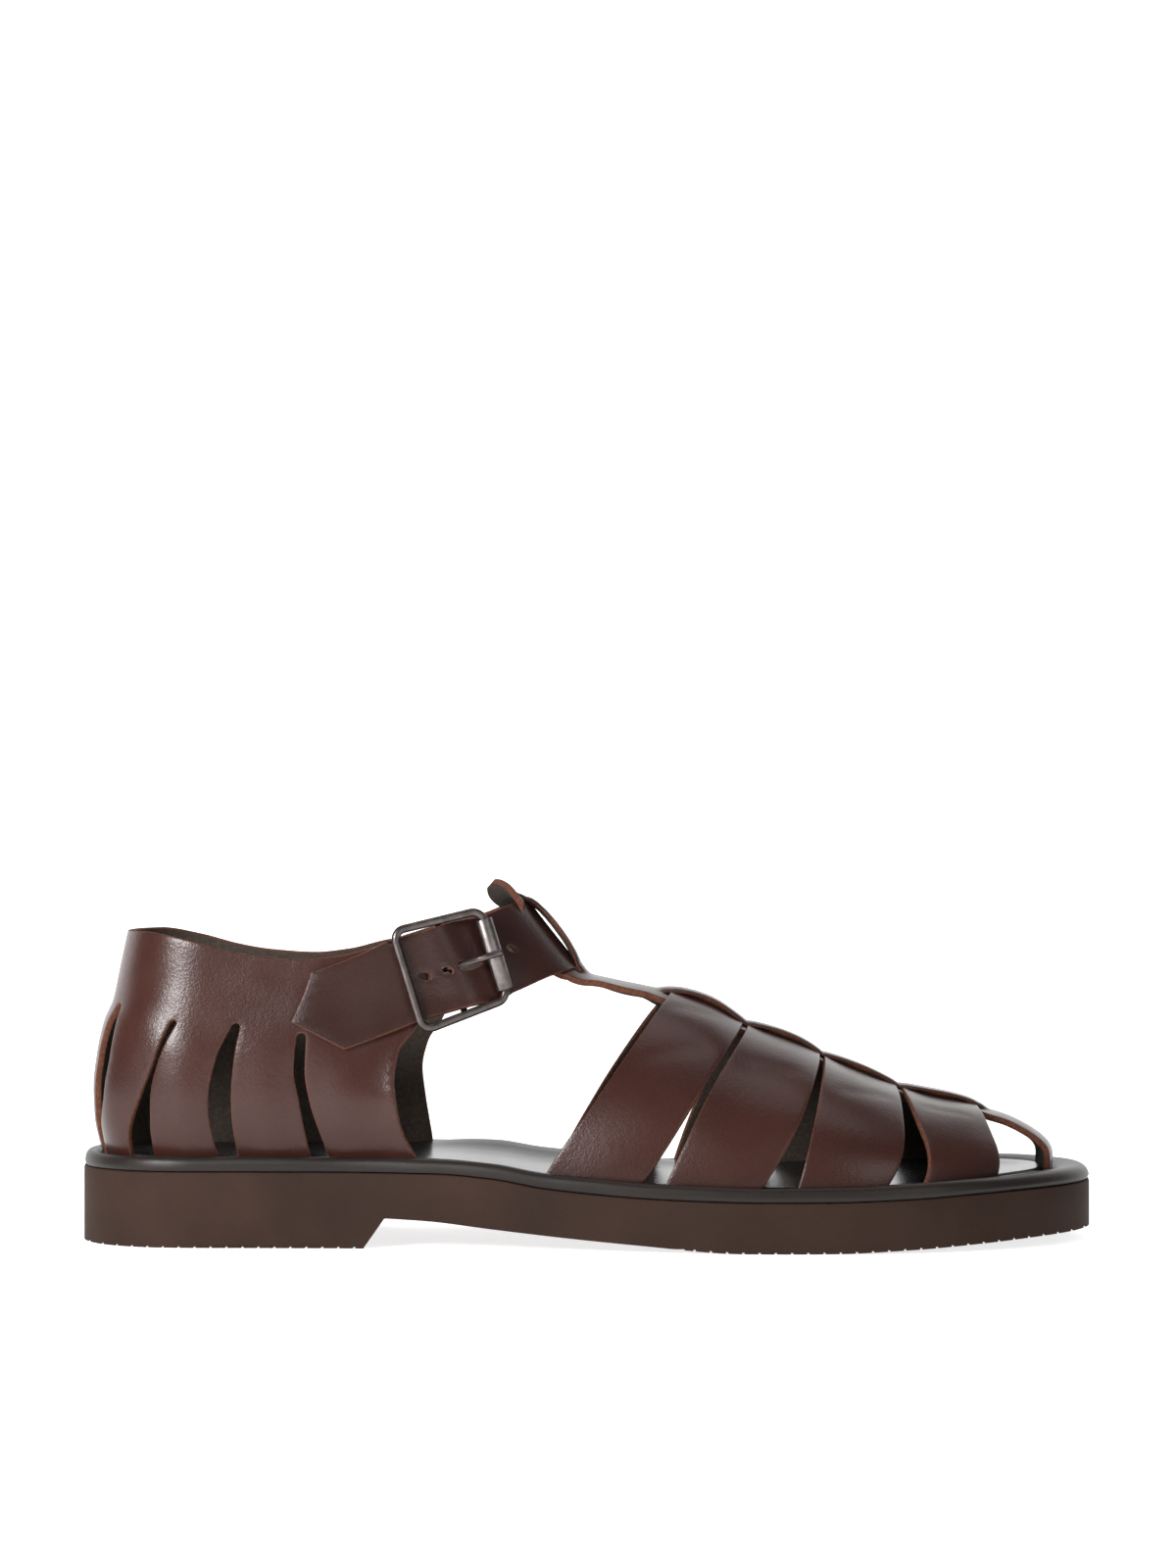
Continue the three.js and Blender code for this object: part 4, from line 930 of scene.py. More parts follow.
def leather_piece(
    name, outline, holes, surface, side,
    lift=None, wall=None, spacing=GRID, skins=leather_skins,
):
    """Leather cut to a flat outline with holes, laid on a surface, with softened raw edges."""
    flat, faces, rings = cut_flat(outline, holes, spacing)
    u, v = flat[:, 0], flat[:, 1]
    centre = surface(u, v)
    normal = surface_normals(surface, u, v, side)
    centre = centre + normal * (lift(u, v) if lift else np.zeros(len(u)))[:, None]
    half = (SHOWN_LEATHER / 2 * (wall(u, v) if wall else np.ones(len(u))))[:, None]
    out = np.zeros_like(centre)
    for ring in rings:
        run = centre[np.roll(ring, -1)] - centre[np.roll(ring, 1)]
        out[ring] = units(side * np.cross(run, normal[ring]))

    count = len(flat)
    grain = centre + normal * half - out * EDGE_SOFTNESS
    suede = centre - normal * half - out * EDGE_SOFTNESS
    points = [grain, suede]
    made = 2 * count
    all_faces = [tuple(face) if side > 0 else tuple(reversed(face)) for face in faces]
    all_faces += [tuple(reversed([k + count for k in face])) for face in all_faces[:len(faces)]]
    indices = [0] * len(faces) + [1] * len(faces)
    for ring in rings:
        size = len(ring)
        rows = [ring]
        c, n, o, h = centre[ring], normal[ring], out[ring], half[ring]
        soft = np.minimum(EDGE_SOFTNESS, h * SOFTEST)
        for way in (1, -1):
            for turn in EDGE_TURNS[::way]:
                angle = radians(turn)
                level = h - soft * (1 - cos(angle))
                reach = EDGE_SOFTNESS * (sin(angle) - 1)
                points.append(c + n * way * level + o * reach)
                rows.append(np.arange(made, made + size))
                made += size
        rows.append(ring + count)
        for row, (upper, lower) in enumerate(zip(rows, rows[1:])):
            for i in range(size):
                j = (i + 1) % size
                quad = (upper[i], lower[i], lower[j], upper[j])
                all_faces.append(quad if side > 0 else tuple(reversed(quad)))
                indices.append(0 if row == 0 else 2)
    piece = add_piece(name, *without_loose(np.concatenate(points), all_faces), skins, indices)
    return piece


collar_line = columns(table(
    "along height",
    (0.0, 1.0),
    (0.045, 1.0),
    (0.092, 0.976),
    (0.131, 0.945),
    (0.169, 0.925),
    (0.218, 0.915),
    (0.256, 0.927),
    (0.294, 0.955),
    (0.34, 0.978),
))["height"]
front_edge = columns(table(
    "height lateral medial",
    (0.2, 0.34, 0.344),
    (0.28, 0.335, 0.343),
    (0.36, 0.3217, 0.339),
    (0.44, 0.3152, 0.335),
    (0.53, 0.3121, 0.332),
    (0.62, 0.3159, 0.338),
    (0.69, 0.3314, 0.352),
    (0.78, 0.345, 0.362),
    (0.98, 0.34, 0.355),
))


def slit(*rows):
    """Rows of a slit between two legs: heights in the collar's, its two edges in the length."""
    return table("height rear front", *rows)


slit_tables = [
    slit(
        (0.25, 0.028, 0.04),
        (0.38, 0.026, 0.05),
        (0.48, 0.027, 0.063),
        (0.6, 0.034, 0.068),
        (0.7, 0.045, 0.066),
        (0.76, 0.053, 0.062),
    ),
    slit(
        (0.25, 0.0895, 0.115),
        (0.33, 0.0922, 0.1168),
        (0.39, 0.0975, 0.1182),
        (0.49, 0.1105, 0.1205),
        (0.575, 0.1202, 0.1252),
        (0.64, 0.1252, 0.1305),
        (0.72, 0.1325, 0.1395),
    ),
    slit(
        (0.25, 0.181, 0.1993),
        (0.33, 0.1776, 0.1981),
        (0.45, 0.175, 0.1967),
        (0.6, 0.181, 0.1984),
        (0.71, 0.1935, 0.2015),
    ),
    slit(
        (0.25, 0.2705, 0.2905),
        (0.35, 0.266, 0.2812),
        (0.46, 0.2608, 0.271),
        (0.57, 0.2553, 0.2659),
        (0.68, 0.2565, 0.266),
    ),
]
medial_first_slit = slit(
    (0.25, 0.05, 0.062),
    (0.38, 0.052, 0.068),
    (0.48, 0.05, 0.068),
    (0.6, 0.044, 0.064),
    (0.7, 0.038, 0.055),
    (0.76, 0.041, 0.05),
)
EDGE_STEPS = 60
CROWN_STEPS = 12
COLLAR_STEPS = 200
FRONT_TOP = 0.975
HEEL_LEG, FRONT_LEG = 0.1, 0.34


def slit_edge(rows, way):
    """The path up one side of a slit, round its top and down the other, heel side first."""
    rear = column(rows, "height", "rear")
    front = column(rows, "height", "front")
    top = rows[-1]["height"]
    radius = (front(top) - rear(top)) * LENGTH / 2
    base = foot_height(x_at(HEEL_LEG)) / COLLAR_HEIGHT
    heights = np.linspace(base, top - radius / COLLAR_HEIGHT, EDGE_STEPS)
    up = np.column_stack([rear(heights) * LENGTH, heights * COLLAR_HEIGHT])
    down = np.column_stack([front(heights) * LENGTH, heights * COLLAR_HEIGHT])[::-1]
    centre = (up[-1] + down[0]) / 2
    reach = (down[0][0] - up[-1][0]) / 2
    angles = np.linspace(pi, 0, CROWN_STEPS + 1)[1:-1]
    crown = centre + reach * np.column_stack([np.cos(angles), np.sin(angles)])
    path = np.concatenate([up, crown, down])
    if way > 0 and rows is not medial_first_slit:
        path[:, 0] += MEDIAL_SHIFT * LENGTH
    path[:, 0] *= way
    return path if way > 0 else path[::-1]


def quarter_outline():
    """Bottom edge with its slits, front edge, collar and back down the other front edge."""
    heights = np.linspace(foot_height(x_at(FRONT_LEG)) / COLLAR_HEIGHT, FRONT_TOP, EDGE_STEPS)
    edge = {}
    for way, side in ((-1, "lateral"), (1, "medial")):
        run = foot_lookup(way, "x", x_at(front_edge[side](heights)), "run") * way
        edge[way] = np.column_stack([run, heights * COLLAR_HEIGHT])
    slits = [slit_edge(rows, -1) for rows in reversed(slit_tables)]
    slits += [slit_edge(rows, 1) for rows in [medial_first_slit, *slit_tables[1:]]]
    bottom = []
    stops = [edge[-1][0][0]] + [value for slit in slits for value in (slit[0][0], slit[-1][0])]
    stops.append(edge[1][0][0])
    for i in range(0, len(stops), 2):
        runs = np.linspace(stops[i], stops[i + 1], CROWN_STEPS)[1:-1]
        x = foot_lookup(np.sign(runs), "run", np.abs(runs), "x")
        bottom.append(np.column_stack([runs, foot_height(x)]))
        if i // 2 < len(slits):
            bottom.append(slits[i // 2])
    runs = np.linspace(edge[1][-1][0], edge[-1][-1][0], COLLAR_STEPS)[1:-1]
    x = foot_lookup(np.sign(runs), "run", np.abs(runs), "x")
    collar = np.column_stack([runs, collar_line(along_at(x)) * COLLAR_HEIGHT])
    return np.concatenate(bottom + [edge[1], collar, edge[-1][::-1]])


quarter = leather_piece("heel_quarter", quarter_outline(), [], quarter_surface, -1, lift=quarter_wave)
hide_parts("upper")

# Ankle strap. A strap cut in one with the medial quarter goes round the front of the ankle,
# through the centre bar and the buckle, and ends in a pointed tail over the lateral quarter.
band_rows = table(
    "turn skew top bottom lift wall",
    (-89.3, 0, 0.624, 0.619, 0.97, 1),
    (-84, 2, 0.76, 0.544, 0.97, 1),
    (-69.5, 0.5, 0.8456, 0.6146, 0.97, 1),
    (-64, 0, 0.862, 0.632, 1.25, 1),
    (-57, -0.5, 0.883, 0.647, 2.15, 1),
    (-50, 0, 0.896, 0.668, 1.3, 1),
    (-44, 0, 0.9025, 0.697, 0.85, 1),
    (-22, -0.5, 0.938, 0.745, 0.5, 1),
    (0, 0, 0.946, 0.7552, 0.5, 1),
    (22, 0.5, 0.938, 0.745, 0.45, 1),
    (44, 0, 0.9007, 0.7011, 0, 1),
    (60, 0, 0.868, 0.655, 0, 1),
    (66, 0, 0.85, 0.632, 0, 0.5),
    (74, 0, 0.822, 0.6, 0, 0.5),
)
TAIL_END = -69.5


def cut_edge(value):
    """An edge of the strap: a smooth curve, with the tail cut straight from corner to corner."""
    curve = column(band_rows, "turn", value)
    turns = [row["turn"] for row in band_rows]
    values = [row[value] for row in band_rows]
    return lambda turn: np.where(np.asarray(turn) < TAIL_END, np.interp(turn, turns, values), curve(turn))


band = {**columns(band_rows), **{key: cut_edge(key) for key in ("skew", "top", "bottom")}}
MM_PER_DEGREE = 0.75
LAST_TURN = 89.6
BAND_STEPS = 240
HOLE_WIDTH = 2.1
HOLE_SIDES = 20


def band_surface(u, z):
    """Where the strap lies: u goes round the ankle, lateral side below zero, z is height."""
    angle = np.radians(np.clip(u / MM_PER_DEGREE, -LAST_TURN, LAST_TURN))
    reach = np.maximum(np.cos(angle), 0) ** (2 / OVAL_POWER)
    x = x_at(OVAL_CENTRE) + oval_reach(z) * reach
    y = np.sign(angle) * ANKLE_HALF_WIDTH * np.abs(np.sin(angle)) ** (2 / OVAL_POWER)
    return np.stack([x, ankle_wall(np.where(angle < 0, -1, 1), x, z, y), z], -1)


def band_outline():
    turns = np.unique(np.concatenate([
        np.linspace(band_rows[0]["turn"], band_rows[-1]["turn"], BAND_STEPS),
        [row["turn"] for row in band_rows],
    ]))
    top = np.column_stack([turns - band["skew"](turns), band["top"](turns) * INSTEP_HEIGHT])
    bottom = np.column_stack([turns + band["skew"](turns), band["bottom"](turns) * INSTEP_HEIGHT])
    path = np.concatenate([bottom, top[::-1]])
    path[:, 0] *= MM_PER_DEGREE
    return path


def round_hole(u, z, width):
    angles = np.linspace(0, 2 * pi, HOLE_SIDES, endpoint=False)
    return np.column_stack([u + width / 2 * np.cos(angles), z + width / 2 * np.sin(angles)])


def band_middle(turn):
    return (band["top"](turn) + band["bottom"](turn)) / 2 * INSTEP_HEIGHT


HOLE_TURNS = (-64.3, -59.2, -37)
SLOT_TURNS = (-54.5, -51.0)
SLOT_WIDTH = 2.6


def prong_slot():
    """The long hole that the prong comes up through."""
    rear, front = [round_hole(turn * MM_PER_DEGREE, band_middle(turn), SLOT_WIDTH) for turn in SLOT_TURNS]
    quarter_turn = HOLE_SIDES // 4
    left = rear[quarter_turn:3 * quarter_turn + 1]
    right = np.roll(front, quarter_turn, 0)[:2 * quarter_turn + 1]
    return np.concatenate([left, right])


band_holes = [round_hole(turn * MM_PER_DEGREE, band_middle(turn), HOLE_WIDTH) for turn in HOLE_TURNS]
band_holes.append(prong_slot())
# The strap is painted darker still on its outer side: partly its own darker leather, partly painted shade.
strap_skins = [grain_material("strap_grain_leather", 0.62, 0.03), *leather_skins[1:]]
leather_piece(
    "ankle_strap", band_outline(), band_holes, band_surface, 1, skins=strap_skins,
    lift=lambda u, z: LEATHER * band["lift"](u / MM_PER_DEGREE),
    wall=lambda u, z: band["wall"](u / MM_PER_DEGREE),
)

# Cross straps. Four straps of the same leather rise from the sole, cross the foot through slits
# in the centre bar and go down again on the other side.
ridge_rows = table(
    "along height",
    (0.4034, 1.0),
    (0.4131, 0.9754),
    (0.4255, 0.9538),
    (0.4372, 0.9331),
    (0.4655, 0.8319),
    (0.4824, 0.7728),
    (0.4983, 0.7394),
    (0.525, 0.72),
    (0.5759, 0.6883),
    (0.6179, 0.648),
    (0.6531, 0.593),
    (0.7062, 0.5349),
    (0.7503, 0.4759),
    (0.8276, 0.3923),
    (0.8828, 0.3599),
    (0.9207, 0.3304),
    (0.9521, 0.2783),
)
TOE_TURN = 0.2478
RIDGE_STEPS = 60


def ridge_curve():
    """The line over the instep and toes: a centripetal curve through the ridge points."""
    knots = [(x_at(row["along"]), row["height"] * INSTEP_HEIGHT) for row in ridge_rows]
    knots += [(FOOT_TIP, TOE_TURN * INSTEP_HEIGHT), (FOOT_TIP, float(foot_height(FOOT_TIP)))]
    p = np.array(knots)
    p = np.concatenate([[2 * p[0] - p[1]], p, [2 * p[-1] - p[-2]]])
    d = np.sqrt(np.linalg.norm(np.diff(p, axis=0), axis=1))
    t = np.linspace(0, 1, RIDGE_STEPS, endpoint=False)[:, None]
    path = []
    for i in range(1, len(p) - 2):
        a, b, c, e = p[i - 1:i + 3]
        d0, d1, d2 = d[i - 1:i + 2]
        m1 = ((b - a) / d0 - (c - a) / (d0 + d1) + (c - b) / d1) * d1
        m2 = ((c - b) / d1 - (e - b) / (d1 + d2) + (e - c) / d2) * d1
        path.append(between(t, b, c, m1, m2))
    return np.concatenate(path + [p[-2:-1]])


ridge = ridge_curve()
ridge_run = np.concatenate([[0], np.cumsum(np.linalg.norm(np.diff(ridge, axis=0), axis=1))])
RIDGE_LENGTH = ridge_run[-1]
ridge_x = np.maximum.accumulate(ridge[:, 0])


def ridge_height(x):
    return np.interp(x, ridge_x, ridge[:, 1])


def ridge_run_at(x):
    return np.interp(x, ridge_x, ridge_run)


fullness = columns(table("along power", (0.42, 1.7), (0.6, 1.85), (0.75, 2.1), (0.9, 2.3)))["power"]
strap_rows = table(
    "name rear front rear_top front_top back hold rear_bow front_bow",
    ("first", 0.456, 0.548, 0.583, 0.653, -0.014, 1, 0.0, 0.006),
    ("second", 0.572, 0.662, 0.658, 0.729, -0.014, 1, 0.0, 0.01),
    ("third", 0.7, 0.783, 0.733, 0.805, 0.014, 14, 0.002, 0.012),
    ("fourth", 0.819, 0.894, 0.811, 0.886, 0.018, 14, 0.014, 0.01),
)
# Creases, in mm on the flat strap: from u, v to u, v, then how wide and how deep.
strap_creases = {
    "first": [(34, 1, 45, 25, 3.0, 0.25), (56, 0, 60, 22, 3.0, 0.2), (104, 2, 96, 25, 3.0, 0.25)],
    "second": [(40, 0, 47, 25, 3.0, 0.25), (108, 2, 98, 24, 3.0, 0.25)],
    "third": [(43, 2, 51, 26, 2.8, 0.25), (102, 0, 99, 24, 3.0, 0.2)],
    "fourth": [(51, 0, 47, 24, 2.8, 0.2), (98, 2, 104, 25, 3.0, 0.2)],
}
STRAP_LIFT = 0.45 * LEATHER
CROWN_SHARE = 0.3
STRAP_ARCH = 0.35
ARCH_REACH = (0.06, 0.2)
STRAP_RUN = 150.0
STRAP_WIDTH = 26.0


def cross_strap_surface(row):
    """Where one strap lies: u goes over the foot from its lateral end, v from its rear edge."""
    def surface(u, v):
        b = np.clip(u / STRAP_RUN, 0, 1)
        a = v / STRAP_WIDTH
        way = np.where(b < 0.5, -1, 1)
        climb = (1 - np.abs(b - 0.5) * 2) * pi / 2
        foot = mix(row["rear"], row["front"], a)
        power = fullness(foot)
        up = np.sin(climb) ** (2 / power)
        foot = foot + np.where(way > 0, row["back"] * (up ** row["hold"] - 1), 0)
        bow = mix(row["rear_bow"], row["front_bow"], a) * np.sin(pi * up**0.8)
        x = x_at(mix(foot, mix(row["rear_top"], row["front_top"], a), up) + bow)
        power = fullness(along_at(x))
        out = np.maximum(np.cos(climb), 0) ** (2 / power)
        up = np.sin(climb) ** (2 / power)
        foot_y = foot_lookup(way, "x", x, "y")
        z = mix(foot_height(x), ridge_height(x), up)
        return np.stack([x, mix(RIDGE_SHIFT, foot_y, out), z], -1)

    return surface


def crown_lift(u, v):
    """The strap rises where it lies on the edges of the centre bar, and is arched across elsewhere."""
    off = np.abs(u / STRAP_RUN - 0.5)
    share = np.clip(v / STRAP_WIDTH, 0, 1)
    arch = STRAP_ARCH * 4 * share * (1 - share) * smooth(*ARCH_REACH, off)
    return STRAP_LIFT * (1 - smooth(CROWN_SHARE * 0.4, CROWN_SHARE, off)) + arch


for row in strap_rows:
    corners = [(0, 0), (STRAP_RUN, 0), (STRAP_RUN, STRAP_WIDTH), (0, STRAP_WIDTH)]
    creases = strap_creases[row["name"]]
    leather_piece(
        row["name"] + "_cross_strap", corners, [], cross_strap_surface(row), -1,
        lift=lambda u, v: crown_lift(u, v) + creased(u, v, creases),
    )

# Centre bar. One strip runs from the turned-up tab over the instep and down to the toe. Pairs of
# slits let every strap through, so its middle bridges the strap and its edges lie under it.
BAR_WIDTH = 24.0
BRIDGE_WIDTH = 12.0
BRIDGE_FLOOR = 0.75
BRIDGE_PEAK = 0.6
BRIDGE_ROUND = 0.6
EDGE_FLOOR = 0.1
EDGE_TUCK = 0.55
BRIDGE_RAMP = 5.0
TAB_ROUND = 10.0
TAB_STEPS = 30
TAB_FLAT = 0.4
TAB_TWIST = 0.35
TAB_REACH = 0.05
ANKLE_END = 0.55
VAMP_START = 0.4983
VAMP_END = 0.9
TOE_BOW_START, TOE_BOW_FULL = 0.88, 0.96
SLIT_WIDTH = 0.5
SLIT_TIP = 0.35
SLIT_BEYOND = 1.5
SLIT_STEPS = 40
BAR_GRID = 1.1
ANKLE_PEAK = 1.05
FREE_FLAT = 0.5
FREE_START, FREE_END = (0.49, 0.515), (0.555, 0.583)
RIDGE_STEP = 0.4
SHARPEST_BLUR, WIDEST_BLUR = 0.25, 3.25
BLUR_RAMP = 3
STEEPEST = 0.95
TOE_PART = 0.75
crossings = [(
    float(oval_front(band["top"](0) * INSTEP_HEIGHT)),
    float(oval_front(band["bottom"](0) * INSTEP_HEIGHT)),
    ANKLE_PEAK,
)]
crossings += [(x_at(row["rear_top"]), x_at(row["front_top"]), BRIDGE_PEAK) for row in strap_rows]


def crossing_at(x):
    """How high the bridge arches, how near a crossing is, and how far x is beyond a slit's end."""
    arch = np.zeros_like(x)
    beyond = np.full_like(x, BRIDGE_RAMP)
    for start, end, peak in crossings:
        share = np.clip((x - start) / (end - start), 0, 1)
        arch = np.maximum(arch, peak * np.sin(pi * share) ** BRIDGE_ROUND)
        beyond = np.minimum(beyond, np.maximum(np.maximum(start - x, x - end), 0))
    return arch, 1 - smooth(0, BRIDGE_RAMP, beyond), beyond


def vamp_drop(x, y):
    """How far the vamp falls below its ridge at a sideways distance."""
    at = np.minimum(x, x_at(VAMP_END))
    power = fullness(along_at(at))
    reach = np.abs(foot_lookup(np.where(y < 0, -1, 1), "x", at, "y") - RIDGE_SHIFT)
    share = np.minimum(np.abs(y) / reach, STEEPEST)
    rise = np.maximum(ridge_height(np.minimum(x, FOOT_TIP)) - foot_height(x), 0)
    return rise * (1 - (1 - share**power) ** (1 / power))


def toe_drop(y):
    """How far the foot line falls behind the toe tip at a sideways distance."""
    result = np.zeros_like(y)
    for side in (-1, 1):
        line = foot_lines[side]
        tail = slice(int(FOOT_STEPS * TOE_PART), None)
        off = np.abs(line["y"][tail] - RIDGE_SHIFT)[::-1]
        back = (FOOT_TIP - line["x"][tail])[::-1]
        result = np.where(np.sign(y) == side, np.interp(np.abs(y), off, back), result)
    return result


def ridge_point(run):
    run = np.clip(run, 0, RIDGE_LENGTH)
    return np.interp(run, ridge_run, ridge[:, 0]), np.interp(run, ridge_run, ridge[:, 1])


def bar_surface(u, v):
    """Where the bar lies: u goes along the ridge from the tab, v sideways from its middle."""
    u = np.clip(u, 0, RIDGE_LENGTH)
    x, z = ridge_point(u)
    ahead, behind = ridge_point(u + RIDGE_STEP), ridge_point(u - RIDGE_STEP)
    run_x, run_z = ahead[0] - behind[0], ahead[1] - behind[1]
    size = np.hypot(run_x, run_z)
    out_x, out_z = -run_z / size, run_x / size
    along = along_at(x)
    ankle = 1 - smooth(OVAL_FRONT, ANKLE_END, along)
    oval_share = (np.abs(v) / ANKLE_HALF_WIDTH) ** OVAL_POWER
    oval_drop = oval_reach(z) * (1 - (1 - oval_share) ** (1 / OVAL_POWER))
    tab = 1 - smooth(0, TAB_REACH, along - ridge_rows[0]["along"])
    toe = smooth(TOE_BOW_START, TOE_BOW_FULL, along)
    drop = vamp_drop(np.maximum(x, x_at(VAMP_START)), v)
    vamp_bow = drop * out_z + toe_drop(v) * toe * out_x
    bow = mix(vamp_bow, oval_drop * out_x * (1 - tab), ankle)
    bow *= 1 - FREE_FLAT * smooth(*FREE_START, along) * (1 - smooth(*FREE_END, along))
    arch, near, beyond = crossing_at(x)
    blur = mix(SHARPEST_BLUR, WIDEST_BLUR, smooth(SLIT_BEYOND, SLIT_BEYOND + BLUR_RAMP, beyond))
    inner = 1 - smooth(0, 1, (np.abs(v) - BRIDGE_WIDTH / 2 + blur) / (2 * blur))
    under = np.minimum(arch / BRIDGE_PEAK, 1)
    bridge = BRIDGE_FLOOR * near + arch + ankle * under * bow / LEATHER
    edge = EDGE_FLOOR * near * (1 - under) - EDGE_TUCK * under
    lift = LEATHER * mix(edge, bridge, inner) - bow - TAB_TWIST * tab * v
    return np.stack([x + out_x * lift, RIDGE_SHIFT + v, z + out_z * lift], -1)


def bar_outline():
    """The strip with its rounded tab end."""
    start = np.linspace(0, 1, TAB_STEPS) ** 2 * TAB_ROUND
    half = BAR_WIDTH / 2 * np.sqrt(1 - (1 - (start + TAB_FLAT) / (TAB_ROUND + TAB_FLAT)) ** 2)
    right = np.column_stack([start, half])
    left = np.column_stack([start, -half])[::-1]
    end = [(RIDGE_LENGTH, BAR_WIDTH / 2), (RIDGE_LENGTH, -BAR_WIDTH / 2)]
    return np.concatenate([right, end, left])


def bar_slits():
    """A narrow lens on each side of every bridge."""
    slits = []
    for start, end, _ in crossings:
        low = ridge_run_at(start - SLIT_BEYOND)
        high = ridge_run_at(end + SLIT_BEYOND)
        share = np.linspace(0, 1, SLIT_STEPS)
        width = SLIT_WIDTH * mix(SLIT_TIP, 1, np.sin(pi * share)) / 2
        run = mix(low, high, share)
        for side in (-1, 1):
            middle = side * BRIDGE_WIDTH / 2
            lens = np.concatenate([
                np.column_stack([run, middle + width]),
                np.column_stack([run, middle - width])[::-1],
            ])
            slits.append(lens)
    return slits


leather_piece("centre_bar", bar_outline(), bar_slits(), bar_surface, 1, spacing=BAR_GRID)

# Buckle. A flat steel frame in antique gunmetal lies over the strap; a prong is looped round the
# set-back centre bar, goes through the slot in the strap and rests on a brushed roller.
BUCKLE_LENGTH = 26.4
BUCKLE_WIRE = 2.2
BUCKLE_CLEARANCE = 0.55
FRONT_NARROWER = 1.6
BUCKLE_RIDE = 1.1
ROLLER_LENGTH = 20.8
ROLLER_WIDTH = 4.8
ROLLER_WALL = 0.5
PRONG_WIRE = 1.8
REAR_BAR_TURN, CENTRE_BAR_TURN, FRONT_BAR_TURN = -69.5, -57.0, -44.0
WIRE_WIDTH = 1.1 * BUCKLE_WIRE
BUCKLE_CORNER = 3.2
CORNER_POINTS = 9
LOOP_START, LOOP_END, LOOP_POINTS = -100, -295, 14
PRONG_END = ((-ROLLER_WIDTH, -0.5), (-1.0, 0.1), (1.0, 0.05), (1.6, 0.0))
FRAME_SIDES, BAR_SIDES, ROLLER_SIDES, PRONG_SIDES = 20, 16, 28, 14
POST_INSET = 0.15
POST_STEP = 0.7
GUNMETAL = (0.1, 0.085, 0.08)
ROLLER_METAL = (0.17, 0.15, 0.145)


def steel_material(name, colour, roughness, lines):
    """Antique plated steel, worn lighter in spots, with fine brush lines."""
    material = new_material(name, colour, roughness, Metallic=1.0)
    paint(material, surface_noise(material, 260, 4.0), shade(colour, 0.7), shade(colour, 1.5))
    add_relief(material, [(surface_noise(material, 900, 2.0, (1, 1, 6)), "Fac", lines)])
    return material


def on_band(turn, share, lift):
    """A point over the strap: share goes from its top edge to its bottom edge."""
    edge_turn = turn + (2 * share - 1) * float(band["skew"](turn))
    z = mix(float(band["top"](turn)), float(band["bottom"](turn)), share) * INSTEP_HEIGHT
    u, v = np.array([edge_turn * MM_PER_DEGREE]), np.array([z])
    return (band_surface(u, v) + surface_normals(band_surface, u, v, 1) * lift)[0]


def strap_top(turn):
    return LEATHER * (float(band["lift"](turn)) + 0.5) + FIT_GAP + BUCKLE_RIDE


def unit(vector):
    return vector / np.linalg.norm(vector)


def bar_up(turn):
    return unit(on_band(turn, 0.4, 0.0) - on_band(turn, 0.6, 0.0))


PRONG_HALF = PRONG_WIRE * 0.35
PRONG_HUG = BUCKLE_WIRE / 2 + FIT_GAP + PRONG_HALF
roller_space = ROLLER_WALL + FIT_GAP
rear_bar = on_band(REAR_BAR_TURN, 0.5, strap_top(REAR_BAR_TURN) + BUCKLE_WIRE / 2)
front_bar = on_band(FRONT_BAR_TURN, 0.5, strap_top(FRONT_BAR_TURN) + BUCKLE_WIRE / 2 + roller_space)
strap_under = LEATHER * (float(band["lift"](CENTRE_BAR_TURN)) - 0.5)
centre_bar_point = on_band(CENTRE_BAR_TURN, 0.5, strap_under - PRONG_HUG - PRONG_HALF - FIT_GAP)

# The buckle's own directions: across the bars, up the bars and away from the foot.
across = unit(front_bar - rear_bar)
rough_up = bar_up(REAR_BAR_TURN) + bar_up(FRONT_BAR_TURN)
up_bar = unit(rough_up - across * np.dot(rough_up, across))
outward = np.cross(across, up_bar)
buckle_centre = (rear_bar + front_bar) / 2


def in_buckle(a, b, c):
    return buckle_centre + across * a + up_bar * b + outward * c


def oval_section(width, height, sides):
    angles = 2 * pi * (np.arange(sides) + 0.5) / sides
    return np.column_stack([np.cos(angles) * width / 2, np.sin(angles) * height / 2])


def bar_along(path, plane, section, closed=False):
    """A metal bar of even section bent along a path that lies in one plane."""
    path = np.array(path)
    ahead, behind = np.roll(path, -1, 0), np.roll(path, 1, 0)
    if not closed:
        ahead[-1], behind[0] = path[-1], path[0]
    side = units(np.cross(ahead - behind, plane))
    points = path[:, None] + side[:, None] * section[None, :, :1] + plane * section[None, :, 1:]
    count, sides = points.shape[:2]
    faces = tube_faces(count, sides, closed)
    if not closed:
        faces.append(tuple(reversed(range(sides))))
        faces.append(tuple((count - 1) * sides + k for k in range(sides)))
    points = points.reshape(-1, 3)
    return points, faced_out(points, faces)


def merged(*solids):
    points, faces, made = [], [], 0
    for some_points, some_faces in solids:
        points.append(some_points)
        faces += [tuple(made + k for k in face) for face in some_faces]
        made += len(some_points)
    return np.concatenate(points), faces


strap_width = max(
    np.linalg.norm(on_band(turn, 0.0, 0.0) - on_band(turn, 1.0, 0.0))
    for turn in (REAR_BAR_TURN, CENTRE_BAR_TURN, FRONT_BAR_TURN)
)
half_across = BUCKLE_LENGTH / 2
half_up = strap_width / 2 + BUCKLE_CLEARANCE + WIRE_WIDTH / 2


def half_up_at(a):
    """The frame is a little narrower at the roller than at its rear bar."""
    return half_up - FRONT_NARROWER * (a / half_across + 1) / 2


